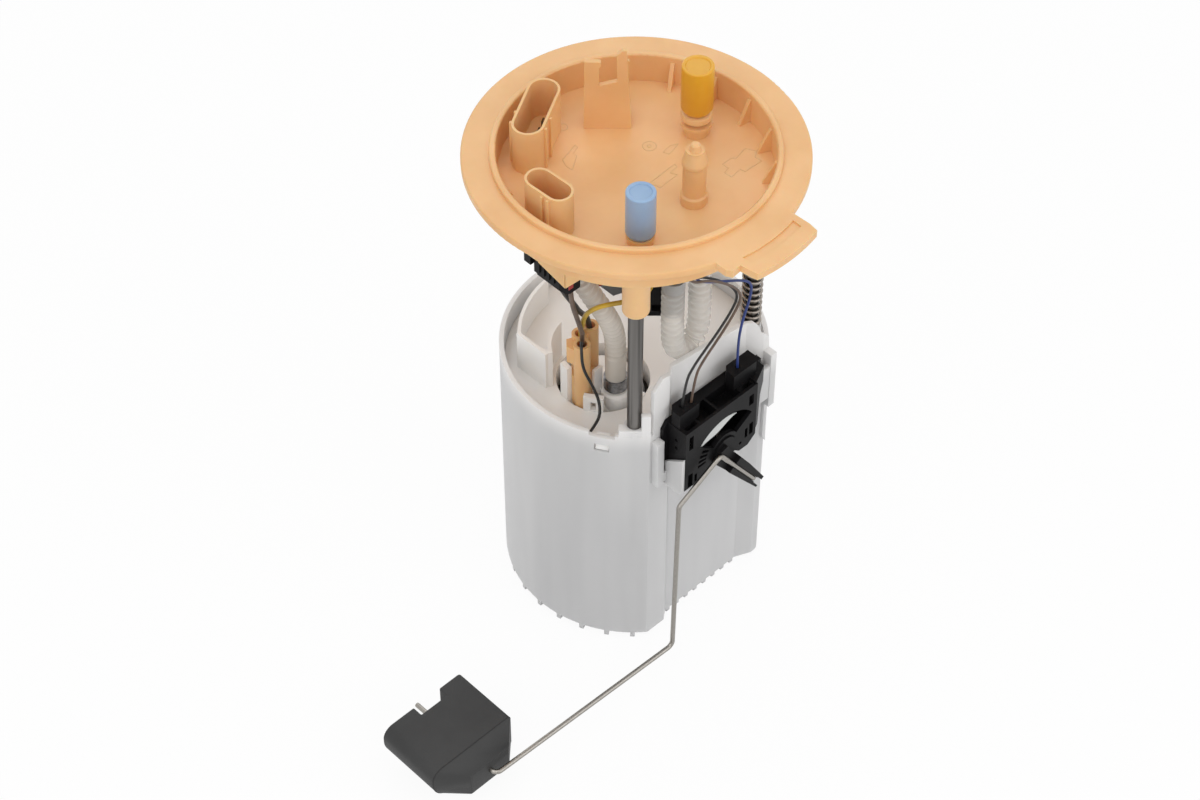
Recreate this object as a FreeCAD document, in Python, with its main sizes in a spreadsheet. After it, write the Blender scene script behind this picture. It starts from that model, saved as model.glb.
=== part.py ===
import FreeCAD, Part
import Sketcher
import math
import os
from FreeCAD import Placement, Rotation, Vector

# In-tank fuel pump module. Origin on the flange axis at the top of the flange plate, +Z up,
# the level sender faces -Y. Millimetres.

doc = FreeCAD.newDocument("fuel_pump_module")
sheet = doc.addObject("Spreadsheet::Sheet", "Sizes")

driving = {
    # flange
    "plate_radius": 75, "plate_thick": 3.7, "plate_round": 0.7,
    "well_radius": 60, "well_depth": 13, "floor_thick": 2.5,
    "ring_wide": 2.85, "ring_rise": 2.3, "ring_round": 0.9,
    "spigot_radius": 63, "spigot_depth": 19.5, "skirt_thick": 2.5,
    "tab_out": 14, "tab_left": 16.4, "tab_right": 19.7, "tab_slot_deep": 0.8, "tab_slot_wide": 4.6,
    "shoulder_out": 7.6, "shoulder_left": 24.2,
    # electrical sockets
    "socket_wall": 1.1, "socket_inside": 5,
    "big_socket_x": -19, "big_socket_y": 42, "big_socket_turn": 30,
    "big_socket_run": 23, "big_socket_r": 7.2, "big_socket_top": 10,
    "small_socket_x": -47.1, "small_socket_y": 4, "small_socket_turn": 92,
    "small_socket_run": 11.4, "small_socket_r": 6.3, "small_socket_top": 8.3,
    "rail_out": 1.1, "rail_wide": 1.2,
    "blade_wide": 2.8, "blade_thick": 0.8, "blade_sunk": 6,
    # fuel nipples and ports
    "feed_x": -27.6, "feed_y": -30.6, "vent_x": 37.5, "vent_y": 0.9, "blank_x": 5.5, "blank_y": -29.3,
    "nipple_r": 4, "nipple_bore": 2.6, "nipple_bead": 0.55, "nipple_top": 12.4, "vent_top": 21.8,
    "blank_base_r": 5.85, "blank_shaft_r": 5.1, "blank_bead_r": 5.6, "blank_tip_r": 2.6, "blank_top": 19.7,
    "vent_base_r": 5.8, "vent_collar_r": 7, "vent_collar_z": -7, "feed_collar_high": 3.9,
    "port_x": -44, "port_y": -6, "port_r": 3.7, "port_bore": 2.2, "port_drop": 30, "port_blind": 15,
    "drain_port_x": 5.5, "drain_port_y": -33, "drain_port_long": 8.5,
    "guard_x": -59.1, "guard_y": -18.2, "guard_low": -28, "guard_thick": 1.6,
    # harness clip on the well floor, gussets on the well wall
    "clip_x": 11.5, "clip_y": 29.7, "clip_turn": -44, "clip_wide": 19.6, "clip_thick": 2.2,
    "clip_top": 31, "clip_low": 12.5, "clip_hook": 24.5, "clip_rib": 10.5, "clip_rib_thick": 1.8,
    "gusset_reach": 6, "gusset_thick": 1.8, "gusset_first": 30, "gusset_step": 20,
    "gusset_count": 5, "gusset_drop": 0.8, "low_gusset_turn": 149.5, "low_gusset_high": 6,
    # guide rods and their bosses
    "rod_r": 3.4, "rod_top": -21, "rod_tail": 5, "rod_tip": 0.6, "rod_gap": 0.1, "rod_relief": 0.4,
    "front_rod_in": 4.93, "front_rod_turn": 225.717, "rear_rod_in": 7.9, "rear_rod_turn": -36.656,
    "boss_r": 6, "boss_round": 1.8, "front_boss_z": -40, "rear_boss_z": -27,
    "ring_clip_r": 5.4, "ring_clip_thick": 0.8, "ring_clip_deep": 0.8, "ring_clip_mouth": 2.8,
    "spring_mean_r": 4.3, "spring_wire_r": 0.55, "spring_turns": 22,
    # caps
    "cap_r": 6.5, "feed_cap_top": 15, "vent_cap_r": 7.15, "vent_cap_top": 24.7, "cap_gap": 0.4,
    "cap_seat": 0.15, "cap_round": 0.7, "cap_roof": 1.3,
    # electrical and valve pieces under the flange
    "plug_left": -58, "plug_right": -50.5, "plug_front": -18, "plug_back": 2.5, "plug_low": -34,
    "plug_foot": 1.6, "plug_ribs": 4, "plug_rib_pitch": 3, "plug_latch_high": 5,
    "lead_plug_left": -23, "lead_plug_right": -11.5, "lead_plug_front": -53.4, "lead_plug_back": -46.8,
    "lead_plug_low": -24,
    "block_x": -11.65, "block_y": -30.5, "block_turn": -44, "block_long": 17.2, "block_deep": 10,
    "block_low": -70, "block_neck": -38, "stub_u": 3.2, "stub_v": -5.85, "stub_low": -48,
    "stub_half": 3.4, "drain_r": 5.2, "drain_bore": 4.2,
    # pot
    "pot_radius": 61.5, "pot_rim": -115, "pot_bottom": -255, "pot_wall": 2.2, "pot_floor": 2.5,
    "flat_y": 48.5, "recess_deep": 3.5, "recess_left": 21.5, "recess_right": 26, "slope_left": 4.5,
    "slope_right": 8,
    "apron_left": -35.4, "apron_right": 37.5, "apron_top": -83, "apron_fall": 7.8, "apron_corner": 5.6,
    "guide_r": 4.9, "guide_end": -158, "guide_top": -112, "guide_web": 3.2,
    "foot_high": 3, "foot_wide": 2.2, "foot_deep": 2.9, "foot_count": 24,
    "flat_feet": 8, "flat_foot_step": 6.2,
    "latch_turn": 212, "latch_wide": 7, "latch_high": 4.5, "latch_drop": 11, "rim_cut": 2, "rim_cut_half": 6,
    "block_half": 7, "block_rise": 4, "post_turn": 230.6, "post_half": 2.1, "post_rise": 13.5,
    "jet_x": 22, "jet_y": 20, "jet_rim_r": 9.5, "jet_rim_high": 5, "valve_stem_r": 2, "valve_hole_r": 1.6,
    "valve_ring_r": 7,
    # clips that hold the level sender
    "ear_left": -31.6, "ear_right": 31, "rib_wide": 4.2, "rib_thick": 1.4, "rib_high": -119, "rib_low": -147,
    "bridge_high": -140.5, "bridge_low": -146, "tongue_high": -126, "tongue_drop": 8.5, "tongue_low": -149.5,
    "right_clip_high": -112, "right_clip_low": -146, "right_clip_wide": 3.6, "right_clip_out": 7,
    "clip_lip": 2.5, "rail_low": -174,
    # pump and its holder
    "pump_x": -19.5, "pump_r": 19, "pump_top": -137, "pump_lift": 26,
    "opening_r": 21.5, "deck_z": -127, "deck_thick": 2, "deck_gap": 0.1, "cup_wall": 1.7, "cup_floor": 7,
    "cup_mouth_r": 14, "rest_low": 12, "rest_thick": 2.6, "rest_half": 2.6, "finger_high": 21,
    "chamber_left": -43, "chamber_near": 13, "chamber_far": 32, "chamber_high": 22, "chamber_wall": 1.6,
    "hook_high": 9, "hook_half": 4.6, "slot_gap": 0.3,
    "outlet_x": -23, "outlet_y": -11.7, "outlet_top": -108, "outlet_r": 3.7, "outlet_bore": 2.2,
    "dome_r": 6.8, "dome_top": -122, "cover_top": -129,
    "sleeve_lift": 21, "sleeve_band": 4, "strainer_r": 21, "strainer_high": 8,
    "inlet_r": 13.5, "inlet_neck_r": 4, "inlet_neck": 6, "inlet_high": 4,
    "jet_base_r": 8, "jet_r": 4.5, "jet_nozzle_r": 3, "jet_nozzle_long": 22,
    "hose_r": 4.85, "hose_wall": 1,
    "clamp_thick": 0.7, "clamp_high": 6.5, "clamp_z": -120.5, "clamp_turn": -35,
    # electric plug on the pump
    "plug_x": -36.2, "plug_y": -3.7, "plug_tube_r": 3.8, "plug_bore": 2.3, "plug_top": -90, "plug_web": 18,
    # sender
    "sender_gap": 0.3, "sender_front": 62, "sender_left": -28.7, "sender_right": 16.7,
    "sender_top": -110, "sender_low": -147.5, "face_thick": 2, "trough_deep": 6, "ear_y": 50.5,
    "terminal_rise": 8.6, "terminal_front": 57.6, "terminal_back": 50,
    "hub_x": -3.5, "hub_z": -138, "hub_r": 7, "hub_gap": 0.35, "window_r": 20.6, "window_in": 9,
    "shaft_r": 2.5, "shaft_gap": 0.06, "comb_first": 149, "comb_step": 10, "comb_count": 4,
    "lever_long": 40, "lever_back": 62.4, "lever_thick": 4.6, "lever_web": 2.2, "lever_slot": 1.6,
    "lead_hole_r": 1.05,
    "wire_r": 1.15, "wire_y": -66, "wire_side": 3.64, "lever_turn": -55.6, "wire_grip": 0.03, "arm_bend": 3,
    # float
    "float_x": -154, "float_pin_x": -150.6, "float_pin_z": -241.5, "float_wide": 48.4,
    "float_top": -229, "float_low": -250.5, "float_near": 54.5, "float_far": 19.5, "float_soft": 6,
    "float_end": 62.5, "float_end_wide": 22.8, "float_end_top": -236, "float_end_low": -249,
    "notch_wide": 15.5, "notch_deep": 5.3,
}
for row, (name, amount) in enumerate(driving.items(), start=1):
    sheet.set("A%d" % row, name)
    sheet.set("B%d" % row, str(amount))
    sheet.setAlias("B%d" % row, name)
doc.recompute()


class Size:
    # a number together with the sheet expression that it comes from
    def __init__(self, value, text):
        self.value = value
        self.text = text

    def __add__(self, other):
        return Size(self.value + val(other), "(%s + %s)" % (self.text, txt(other)))

    def __radd__(self, other):
        return Size(val(other) + self.value, "(%s + %s)" % (txt(other), self.text))

    def __sub__(self, other):
        return Size(self.value - val(other), "(%s - %s)" % (self.text, txt(other)))

    def __rsub__(self, other):
        return Size(val(other) - self.value, "(%s - %s)" % (txt(other), self.text))

    def __mul__(self, other):
        return Size(self.value * val(other), "(%s * %s)" % (self.text, txt(other)))

    __rmul__ = __mul__

    def __truediv__(self, other):
        return Size(self.value / val(other), "(%s / %s)" % (self.text, txt(other)))

    def __neg__(self):
        return Size(-self.value, "(0 - %s)" % self.text)


def val(a):
    return a.value if isinstance(a, Size) else float(a)


def txt(a):
    return a.text if isinstance(a, Size) else "%g" % a


def root(a):
    return Size(math.sqrt(val(a)), "sqrt(%s)" % txt(a))


class Table:
    # sizes.plate_radius is the sheet's cell of that name
    def __getattr__(self, name):
        return Size(float(getattr(sheet, name)), "Sizes." + name)


s = Table()


def bind(obj, path, amount):
    if isinstance(amount, Size):
        obj.setExpression(path, amount.text)


def new_body(label):
    body = doc.addObject("PartDesign::Body", label)
    body.AllowCompound = True
    return body


def origin_plane(body, role):
    for feature in body.Origin.OriginFeatures:
        if feature.Role == role:
            return feature


def sketch_on(body, plane, at=(0, 0, 0), turn=0, lean=0):
    # at is a point of the module; turn is about Z through it, lean is in the sketch's own plane
    sk = body.newObject("Sketcher::SketchObject", body.Name + "_sketch")
    sk.AttachmentSupport = (origin_plane(body, plane + "_Plane"), [""])
    sk.MapMode = "FlatFace"
    x, y, z = at
    local = {"XY": (x, y, z), "XZ": (x, z, -1 * y), "YZ": (y, z, x)}[plane]
    spin = Vector(0, 0, 1) if plane == "XY" else Vector(0, 1, 0)
    place = Rotation(spin, val(turn))
    if lean:
        place = place.multiply(Rotation(Vector(0, 0, 1), val(lean)))
    sk.AttachmentOffset = Placement(Vector(*[val(c) for c in local]), place)
    for axis, amount in zip("xyz", local):
        bind(sk, "AttachmentOffset.Base." + axis, amount)
    return sk


def fix_point(sk, geo, pos, x, y):
    for kind, amount in (("DistanceX", x), ("DistanceY", y)):
        index = sk.addConstraint(Sketcher.Constraint(kind, -1, 1, geo, pos, val(amount)))
        bind(sk, "Constraints[%d]" % index, amount)


def fix_radius(sk, geo, radius):
    index = sk.addConstraint(Sketcher.Constraint("Radius", geo, val(radius)))
    bind(sk, "Constraints[%d]" % index, radius)


def disc(sk, x, y, radius):
    geo = sk.addGeometry(Part.Circle(Vector(val(x), val(y), 0), Vector(0, 0, 1), val(radius)))
    fix_radius(sk, geo, radius)
    fix_point(sk, geo, 3, x, y)


def arc_through(start, end, radius, large):
    # radius > 0 runs anticlockwise from start to end, < 0 clockwise
    a, b = (start, end) if radius > 0 else (end, start)
    r = abs(radius)
    mid = (a + b) * 0.5
    half = (b - a).Length / 2
    rise = math.sqrt(max(r * r - half * half, 0))
    side = Vector(-(b - a).y, (b - a).x, 0).normalize()
    centre = mid - side * rise if large else mid + side * rise
    a0 = math.atan2(a.y - centre.y, a.x - centre.x)
    a1 = math.atan2(b.y - centre.y, b.x - centre.x)
    circle = Part.Circle(centre, Vector(0, 0, 1), r)
    return Part.ArcOfCircle(circle, a0, a1 if a1 > a0 else a1 + 2 * math.pi)


def loop(sk, points):
    # points (x, y) or (x, y, radius of the arc that arrives here) or (x, y, radius, True) for its long way
    count = len(points)
    spots = [Vector(val(p[0]), val(p[1]), 0) for p in points]
    ends = []
    for i, point in enumerate(points):
        before = spots[i - 1]
        if len(point) > 2:
            bend = val(point[2])
            arc = arc_through(before, spots[i], bend, len(point) > 3)
            geo = sk.addGeometry(arc)
            if abs((spots[i] - before).Length - 2 * abs(bend)) < 0.001:
                # a half turn is held by its centre
                upright_chord = abs(spots[i].x - before.x) < 0.001
                kind, amount = ("DistanceX", point[0]) if upright_chord else ("DistanceY", point[1])
                index = sk.addConstraint(Sketcher.Constraint(kind, -1, 1, geo, 3, val(amount)))
                bind(sk, "Constraints[%d]" % index, amount)
            else:
                fix_radius(sk, geo, point[2] if bend > 0 else -1 * point[2])
            ends.append((geo, 1, 2) if bend > 0 else (geo, 2, 1))
        else:
            ends.append((sk.addGeometry(Part.LineSegment(before, spots[i])), 1, 2))
    for i in range(count):
        here, after = ends[i], ends[(i + 1) % count]
        sk.addConstraint(Sketcher.Constraint("Coincident", here[0], here[2], after[0], after[1]))
        fix_point(sk, here[0], here[2], points[i][0], points[i][1])


def rect(sk, x0, y0, x1, y1):
    loop(sk, [(x0, y0), (x1, y0), (x1, y1), (x0, y1)])


def stadium(sk, run, radius, x=0, y=0):
    # long along the sketch's x
    half = run / 2
    loop(sk, [(x - half, y - radius, radius), (x + half, y - radius), (x + half, y + radius, radius),
              (x - half, y + radius)])


def pad(body, sk, length, both=False, back=False, taper=None):
    step = body.newObject("PartDesign::Pad", body.Name + "_pad")
    step.Profile = sk
    step.Length = val(length)
    bind(step, "Length", length)
    step.Midplane = both
    step.Reversed = back
    if taper is not None:
        step.TaperAngle = taper
    sk.Visibility = False
    return step


def pocket(body, sk, length=None, both=False, back=False):
    step = body.newObject("PartDesign::Pocket", body.Name + "_pocket")
    step.Profile = sk
    if length is None:
        step.Type = "ThroughAll"
    else:
        step.Length = val(length)
        bind(step, "Length", length)
    step.Midplane = both
    step.Reversed = back
    sk.Visibility = False
    return step


def turned(body, sk, cut=False):
    step = body.newObject("PartDesign::Groove" if cut else "PartDesign::Revolution", body.Name + "_turned")
    step.Profile = sk
    step.ReferenceAxis = (sk, ["V_Axis"])
    step.Angle = 360
    sk.Visibility = False
    return step


def around(body, steps, count, angle):
    # copies about the module's Z axis
    pattern = body.newObject("PartDesign::PolarPattern", body.Name + "_around")
    pattern.Originals = steps
    pattern.Axis = (origin_plane(body, "Z_Axis"), [""])
    pattern.Angle = abs(angle)
    pattern.Reversed = angle < 0
    pattern.Occurrences = int(count)
    body.Tip = pattern
    return pattern


def rounded(body, radius, test, kind="Fillet"):
    doc.recompute()
    shape = body.Tip.Shape
    names = ["Edge%d" % (i + 1) for i, edge in enumerate(shape.Edges) if test(edge)]
    step = body.newObject("PartDesign::" + kind, body.Name + "_" + kind.lower())
    step.Base = (body.Tip if body.Tip is not step else step.BaseFeature, names)
    path = "Radius" if kind == "Fillet" else "Size"
    setattr(step, path, val(radius))
    bind(step, path, radius)
    return step


def circle_at(edge, z, r, tolerance=0.05):
    # a horizontal circle or arc about the module's axis
    curve = edge.Curve
    if not isinstance(curve, Part.Circle):
        return False
    return abs(curve.Center.z - z) < tolerance and abs(curve.Radius - r) < tolerance


def upright(edge):
    a, b = edge.Vertexes[0].Point, edge.Vertexes[-1].Point
    return (b - a).Length > 0.5 and abs(a.x - b.x) < 0.01 and abs(a.y - b.y) < 0.01


def along_y(edge):
    a, b = edge.Vertexes[0].Point, edge.Vertexes[-1].Point
    return (b - a).Length > 0.5 and abs(a.x - b.x) < 0.01 and abs(a.z - b.z) < 0.01


def moved(x, y, turn, u, v=0):
    # the point (u, v) of a frame at (x, y) that is turned about Z
    c = math.cos(math.radians(val(turn)))
    d = math.sin(math.radians(val(turn)))
    return x + u * c - v * d, y + u * d + v * c


def solid_node(label, shape):
    node = doc.addObject("Part::Feature", label)
    node.Shape = shape
    return node


def bent_path(points, bend=None):
    # straight runs joined by tangent arcs, of one radius where bend is given
    spots = [Vector(*[val(c) for c in p]) for p in points]
    edges = []
    start = spots[0]
    for before, corner, after in zip(spots, spots[1:], spots[2:]):
        back = (before - corner).normalize()
        ahead = (after - corner).normalize()
        half_turn = (math.pi - back.getAngle(ahead)) / 2
        reach = 0.45 * min((before - corner).Length, (after - corner).Length)
        if bend is not None:
            reach = val(bend) * math.tan(half_turn)
        radius = reach / math.tan(half_turn)
        a = corner + back * reach
        b = corner + ahead * reach
        inward = (back + ahead).normalize()
        middle = corner + inward * (radius / math.cos(half_turn) - radius)
        edges.append(Part.LineSegment(start, a).toShape())
        edges.append(Part.Arc(a, middle, b).toShape())
        start = b
    edges.append(Part.LineSegment(start, spots[-1]).toShape())
    return Part.Wire(edges)


def tube_along(points, radius, bore=None, bend=None):
    path = bent_path(points, bend)
    first = path.Edges[0]
    start = first.valueAt(first.FirstParameter)
    heading = first.tangentAt(first.FirstParameter)
    rings = [radius] if bore is None else [radius, bore]
    solids = []
    for r in rings:
        ring = Part.Wire([Part.Circle(start, heading, val(r)).toShape()])
        solids.append(path.makePipeShell([ring], True, False, 2))
    if bore is None:
        shape = solids[0]
    else:
        shape = solids[0].cut(solids[1])
    return shape


# flange
flange = new_body("flange")
rim_top = s.ring_rise
ring_out = s.well_radius + s.ring_wide
floor_top = -s.well_depth
floor_low = floor_top - s.floor_thick
sk = sketch_on(flange, "XZ")
loop(sk, [(0, floor_low), (s.spigot_radius - s.skirt_thick, floor_low),
          (s.spigot_radius - s.skirt_thick, -s.spigot_depth), (s.spigot_radius, -s.spigot_depth),
          (s.spigot_radius, -s.plate_thick), (s.plate_radius, -s.plate_thick), (s.plate_radius, 0),
          (ring_out, 0), (ring_out, rim_top), (s.well_radius, rim_top), (s.well_radius, floor_top),
          (0, floor_top)])
turned(flange, sk)

# keying tab on the sender side, with a shoulder beside it and a shallow curved slot in it
tab_reach = s.plate_radius + s.tab_out
shoulder_reach = s.plate_radius + s.shoulder_out
tab_root = 0.85 * s.plate_radius


def on_circle(radius, x):
    # how far from the axis a circle of this radius is at x
    return root(radius * radius - x * x)


sk = sketch_on(flange, "XY", at=(0, 0, -s.plate_thick))
tab_y = -on_circle(tab_reach, s.tab_left)
tab_far_y = -on_circle(tab_reach, s.tab_right)
shoulder_in = s.shoulder_left - 1.5
loop(sk, [(-s.shoulder_left, -tab_root), (-s.shoulder_left, 2.2 - on_circle(shoulder_reach, s.shoulder_left)),
          (-shoulder_in, -on_circle(shoulder_reach, shoulder_in)),
          (-s.tab_left - 1.4, 2 - on_circle(shoulder_reach, s.tab_left)), (-s.tab_left - 0.7, tab_y + 3),
          (-s.tab_left, tab_y), (s.tab_right, tab_far_y, tab_reach), (s.tab_right + 0.7, tab_far_y + 5),
          (s.tab_right, -tab_root)])
pad(flange, sk, s.plate_thick)
slot_in = s.plate_radius + 2.6
slot_out = slot_in + s.tab_slot_wide
slot_left = s.tab_left - 2.4
slot_right = s.tab_right - 2.8
sk = sketch_on(flange, "XY")
loop(sk, [(-slot_left, -on_circle(slot_in, slot_left), -slot_in),
          (-slot_left, -on_circle(slot_out, slot_left)),
          (slot_right, -on_circle(slot_out, slot_right), slot_out),
          (slot_right, -on_circle(slot_in, slot_right))])
pocket(flange, sk, s.tab_slot_deep)


def socket(x, y, turn, run, radius, top, floor):
    at = (x, y, floor_top)
    sk = sketch_on(flange, "XY", at=at, turn=turn)
    stadium(sk, run, radius)
    pad(flange, sk, top - floor_top)
    # rails on both flanks of one end
    sk = sketch_on(flange, "XY", at=at, turn=turn)
    for step in (0.5, 0.2):
        u = -step * run
        rect(sk, u - s.rail_wide / 2, -radius - s.rail_out, u + s.rail_wide / 2, radius + s.rail_out)
    pad(flange, sk, top - floor_top - 1)
    sk = sketch_on(flange, "XY", at=(x, y, top), turn=turn)
    stadium(sk, run, radius - s.socket_wall)
    pocket(flange, sk, top - floor)


socket_floor = s.socket_inside + floor_low
socket(s.big_socket_x, s.big_socket_y, s.big_socket_turn, s.big_socket_run, s.big_socket_r,
       s.big_socket_top, socket_floor)
socket(s.small_socket_x, s.small_socket_y, s.small_socket_turn, s.small_socket_run, s.small_socket_r,
       s.small_socket_top, socket_floor)

# blanked nipple, closed at its tip
sk = sketch_on(flange, "XZ", at=(s.blank_x, s.blank_y, 0))
loop(sk, [(0, floor_top), (s.blank_base_r, floor_top), (s.blank_base_r, floor_top + 4.5),
          (s.blank_shaft_r, floor_top + 5.5), (s.blank_shaft_r, s.blank_top - 12),
          (s.blank_bead_r, s.blank_top - 11), (s.blank_bead_r, s.blank_top - 9.6),
          (s.blank_tip_r + 1.4, s.blank_top - 4.2), (s.blank_tip_r + 1.4, s.blank_top - 3.4),
          (s.blank_tip_r, s.blank_top - 3.4), (s.blank_tip_r - 0.5, s.blank_top - 0.6),
          (s.blank_tip_r - 1.1, s.blank_top), (0, s.blank_top)])
turned(flange, sk)


def barbed_nipple(x, y, base_r, collar_r, collar, top):
    sk = sketch_on(flange, "XZ", at=(x, y, 0))
    loop(sk, [(0, floor_top), (base_r, floor_top), (base_r, collar - 1.9), (collar_r, collar - 1.4),
              (collar_r, collar), (s.nipple_r, collar), (s.nipple_r, top - 7),
              (s.nipple_r + s.nipple_bead, top - 6.4), (s.nipple_r - 0.5, top - 0.6), (s.nipple_r - 1, top),
              (0, top)])
    turned(flange, sk)
    sk = sketch_on(flange, "XY", at=(x, y, top))
    disc(sk, 0, 0, s.nipple_bore)
    pocket(flange, sk, top - floor_top + 0.5)


feed_collar = floor_top + s.feed_collar_high
barbed_nipple(s.feed_x, s.feed_y, s.blank_base_r, s.blank_base_r + 0.4, feed_collar, s.nipple_top)
barbed_nipple(s.vent_x, s.vent_y, s.vent_base_r, s.vent_collar_r, s.vent_collar_z, s.vent_top)

# harness clip: a slotted plate with a hook and two sloping ribs behind it
clip_half = s.clip_wide / 2
slot_x0 = 6.2 - clip_half
slot_x1 = clip_half - 5.6
sk = sketch_on(flange, "XZ", at=(s.clip_x, s.clip_y, 0), turn=s.clip_turn)
loop(sk, [(-clip_half - 0.4, floor_top), (clip_half + 0.8, floor_top), (clip_half - 1.6, s.clip_top),
          (clip_half - 3, s.clip_top), (slot_x1, s.clip_top - 2.4), (slot_x1, s.clip_low + 1.2),
          (slot_x0, s.clip_low - 1.2), (slot_x0, s.clip_hook - 2.5), (slot_x0 + 0.8, s.clip_hook - 2.5),
          (slot_x0 + 0.8, s.clip_hook), (-clip_half, s.clip_hook + 0.4)])
pad(flange, sk, s.clip_thick, both=True)
for side, reach in ((-1, 0.75), (1, 1)):
    rib_x, rib_y = moved(s.clip_x, s.clip_y, s.clip_turn, side * (clip_half - 1.3))
    sk = sketch_on(flange, "YZ", at=(rib_x, rib_y, 0), turn=s.clip_turn)
    foot = s.clip_rib * reach
    loop(sk, [(0, floor_top), (foot, floor_top), (foot - 2.4, s.clip_low - 6), (1.6, s.clip_hook),
              (0, s.clip_hook)])
    pad(flange, sk, s.clip_rib_thick, both=True)


# gussets between the well floor and the wall
def gusset(turn, top):
    sk = sketch_on(flange, "XZ", turn=turn)
    loop(sk, [(s.well_radius - s.gusset_reach, floor_top), (s.well_radius + 0.5, floor_top),
              (s.well_radius + 0.5, top), (s.well_radius - 0.6, top)])
    return pad(flange, sk, s.gusset_thick, both=True)


high_gusset = gusset(s.gusset_first, -s.gusset_drop)
around(flange, [high_gusset], val(s.gusset_count), -val(s.gusset_step * (s.gusset_count - 1)))
gusset(s.low_gusset_turn, floor_top + s.low_gusset_high)

# rod bosses under the floor, hose port, outlet of the vent
def polar(radius, turn):
    angle = math.radians(val(turn))
    return radius * math.cos(angle), radius * math.sin(angle)


front_rod_x, front_rod_y = polar(s.pot_radius - s.front_rod_in, s.front_rod_turn)
rear_rod_x, rear_rod_y = polar(s.pot_radius - s.rear_rod_in, s.rear_rod_turn)
rod_spots = ((front_rod_x, front_rod_y, s.front_boss_z), (rear_rod_x, rear_rod_y, s.rear_boss_z))
for x, y, low in rod_spots:
    sk = sketch_on(flange, "XZ", at=(x, y, 0))
    loop(sk, [(0, floor_low + 1), (0, low), (s.boss_r - s.boss_round, low),
              (s.boss_r, low + s.boss_round, s.boss_round), (s.boss_r, floor_low + 1)])
    turned(flange, sk)
    sk = sketch_on(flange, "XY", at=(x, y, low))
    disc(sk, 0, 0, s.rod_r)
    pocket(flange, sk, s.rod_top - low, back=True)
sk = sketch_on(flange, "XZ", at=(s.port_x, s.port_y, 0))
loop(sk, [(0, floor_low + 1), (0, -s.port_drop), (s.port_r - 0.6, -s.port_drop),
          (s.port_r, 2.2 - s.port_drop), (s.port_r - 0.5, 3 - s.port_drop), (s.port_r - 0.5, floor_low + 1)])
turned(flange, sk)
sk = sketch_on(flange, "XY", at=(s.port_x, s.port_y, -s.port_drop))
disc(sk, 0, 0, s.port_bore)
pocket(flange, sk, s.port_drop - s.port_blind, back=True)
port_fit = s.drain_bore - 0.15
sk = sketch_on(flange, "XY", at=(s.drain_port_x, s.drain_port_y, floor_low - s.drain_port_long))
disc(sk, 0, 0, port_fit)
pad(flange, sk, s.drain_port_long + 0.5)

# two corner webs under the spigot edge that guard the harness plug
guard_top = 2.5 - s.spigot_depth
for turn, length, end_low in ((100.6, 13.6, -20.5), (-52.2, 6.2, -22)):
    sk = sketch_on(flange, "XZ", at=(s.guard_x, s.guard_y, 0), turn=turn)
    loop(sk, [(0, guard_top), (0, s.guard_low), (length, end_low), (length, guard_top)])
    pad(flange, sk, s.guard_thick, both=True)

rounded(flange, s.plate_round, lambda e: circle_at(e, 0, val(s.plate_radius))
        or circle_at(e, -val(s.plate_thick), val(s.plate_radius)))
rounded(flange, s.ring_round, lambda e: circle_at(e, val(rim_top), val(ring_out))
        or circle_at(e, val(rim_top), val(s.well_radius)))


# blades of the two sockets, and the transit caps on the open nipples
def blades(label, x, y, turn, spots, top):
    body = new_body(label)
    sk = sketch_on(body, "XY", at=(x, y, socket_floor), turn=turn)
    for u in spots:
        rect(sk, u - s.blade_wide / 2, -s.blade_thick / 2, u + s.blade_wide / 2, s.blade_thick / 2)
    pad(body, sk, top - s.blade_sunk - socket_floor)
    return body


big_pitch = s.big_socket_run / 4 + 0.6
blades("large_socket_blades", s.big_socket_x, s.big_socket_y, s.big_socket_turn,
       [n * big_pitch for n in (-1.5, -0.5, 0.5, 1.5)], s.big_socket_top)
small_pitch = s.small_socket_run / 2 - 0.8
blades("small_socket_blades", s.small_socket_x, s.small_socket_y, s.small_socket_turn,
       [n * small_pitch for n in (-1, 0, 1)], s.small_socket_top)


def cap(label, x, y, radius, collar, top):
    body = new_body(label)
    low = collar + s.cap_seat
    hollow = s.nipple_r + s.nipple_bead + s.cap_gap
    crown = top - 0.6
    roof = crown - s.cap_roof
    sk = sketch_on(body, "XZ", at=(x, y, 0))
    loop(sk, [(hollow, low), (radius - 1, low), (radius, low + 1.8),
              (radius, top - s.cap_round), (radius - s.cap_round, top, s.cap_round), (radius - 1.5, top),
              (radius - 2, crown), (0, crown), (0, roof), (hollow - 0.8, roof), (hollow, roof - 0.8)])
    turned(body, sk)
    return body


cap("blue_cap", s.feed_x, s.feed_y, s.cap_r, feed_collar, s.feed_cap_top)
cap("yellow_cap", s.vent_x, s.vent_y, s.vent_cap_r, s.vent_collar_z, s.vent_cap_top)

# guide rods, the rear one with a ring clip in a groove near its lower end
ring_top = s.guide_end - 0.15
ring_low = ring_top - s.ring_clip_thick
rod_low = s.guide_end - s.rod_tail
neck = s.rod_r - s.ring_clip_deep
rod_foot = [(0, rod_low), (s.rod_r - s.rod_tip, rod_low), (s.rod_r, rod_low + s.rod_tip)]
rod_head = [(s.rod_r, s.rod_top), (0, s.rod_top)]
groove = [(s.rod_r, ring_low - 0.05), (neck, ring_low - 0.05), (neck, ring_top + 0.05),
          (s.rod_r, ring_top + 0.05)]
rods = (("guide_rod_front", rod_spots[0], []), ("guide_rod_rear", rod_spots[1], groove))
for label, (x, y, low), cut in rods:
    rod = new_body(label)
    sk = sketch_on(rod, "XZ", at=(x, y, 0))
    loop(sk, rod_foot + cut + rod_head)
    turned(rod, sk)
ring = new_body("ring_clip")
sk = sketch_on(ring, "XY", at=(rear_rod_x, rear_rod_y, ring_low), turn=120)
half_mouth = s.ring_clip_mouth / 2
ring_in = neck + 0.1
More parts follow.
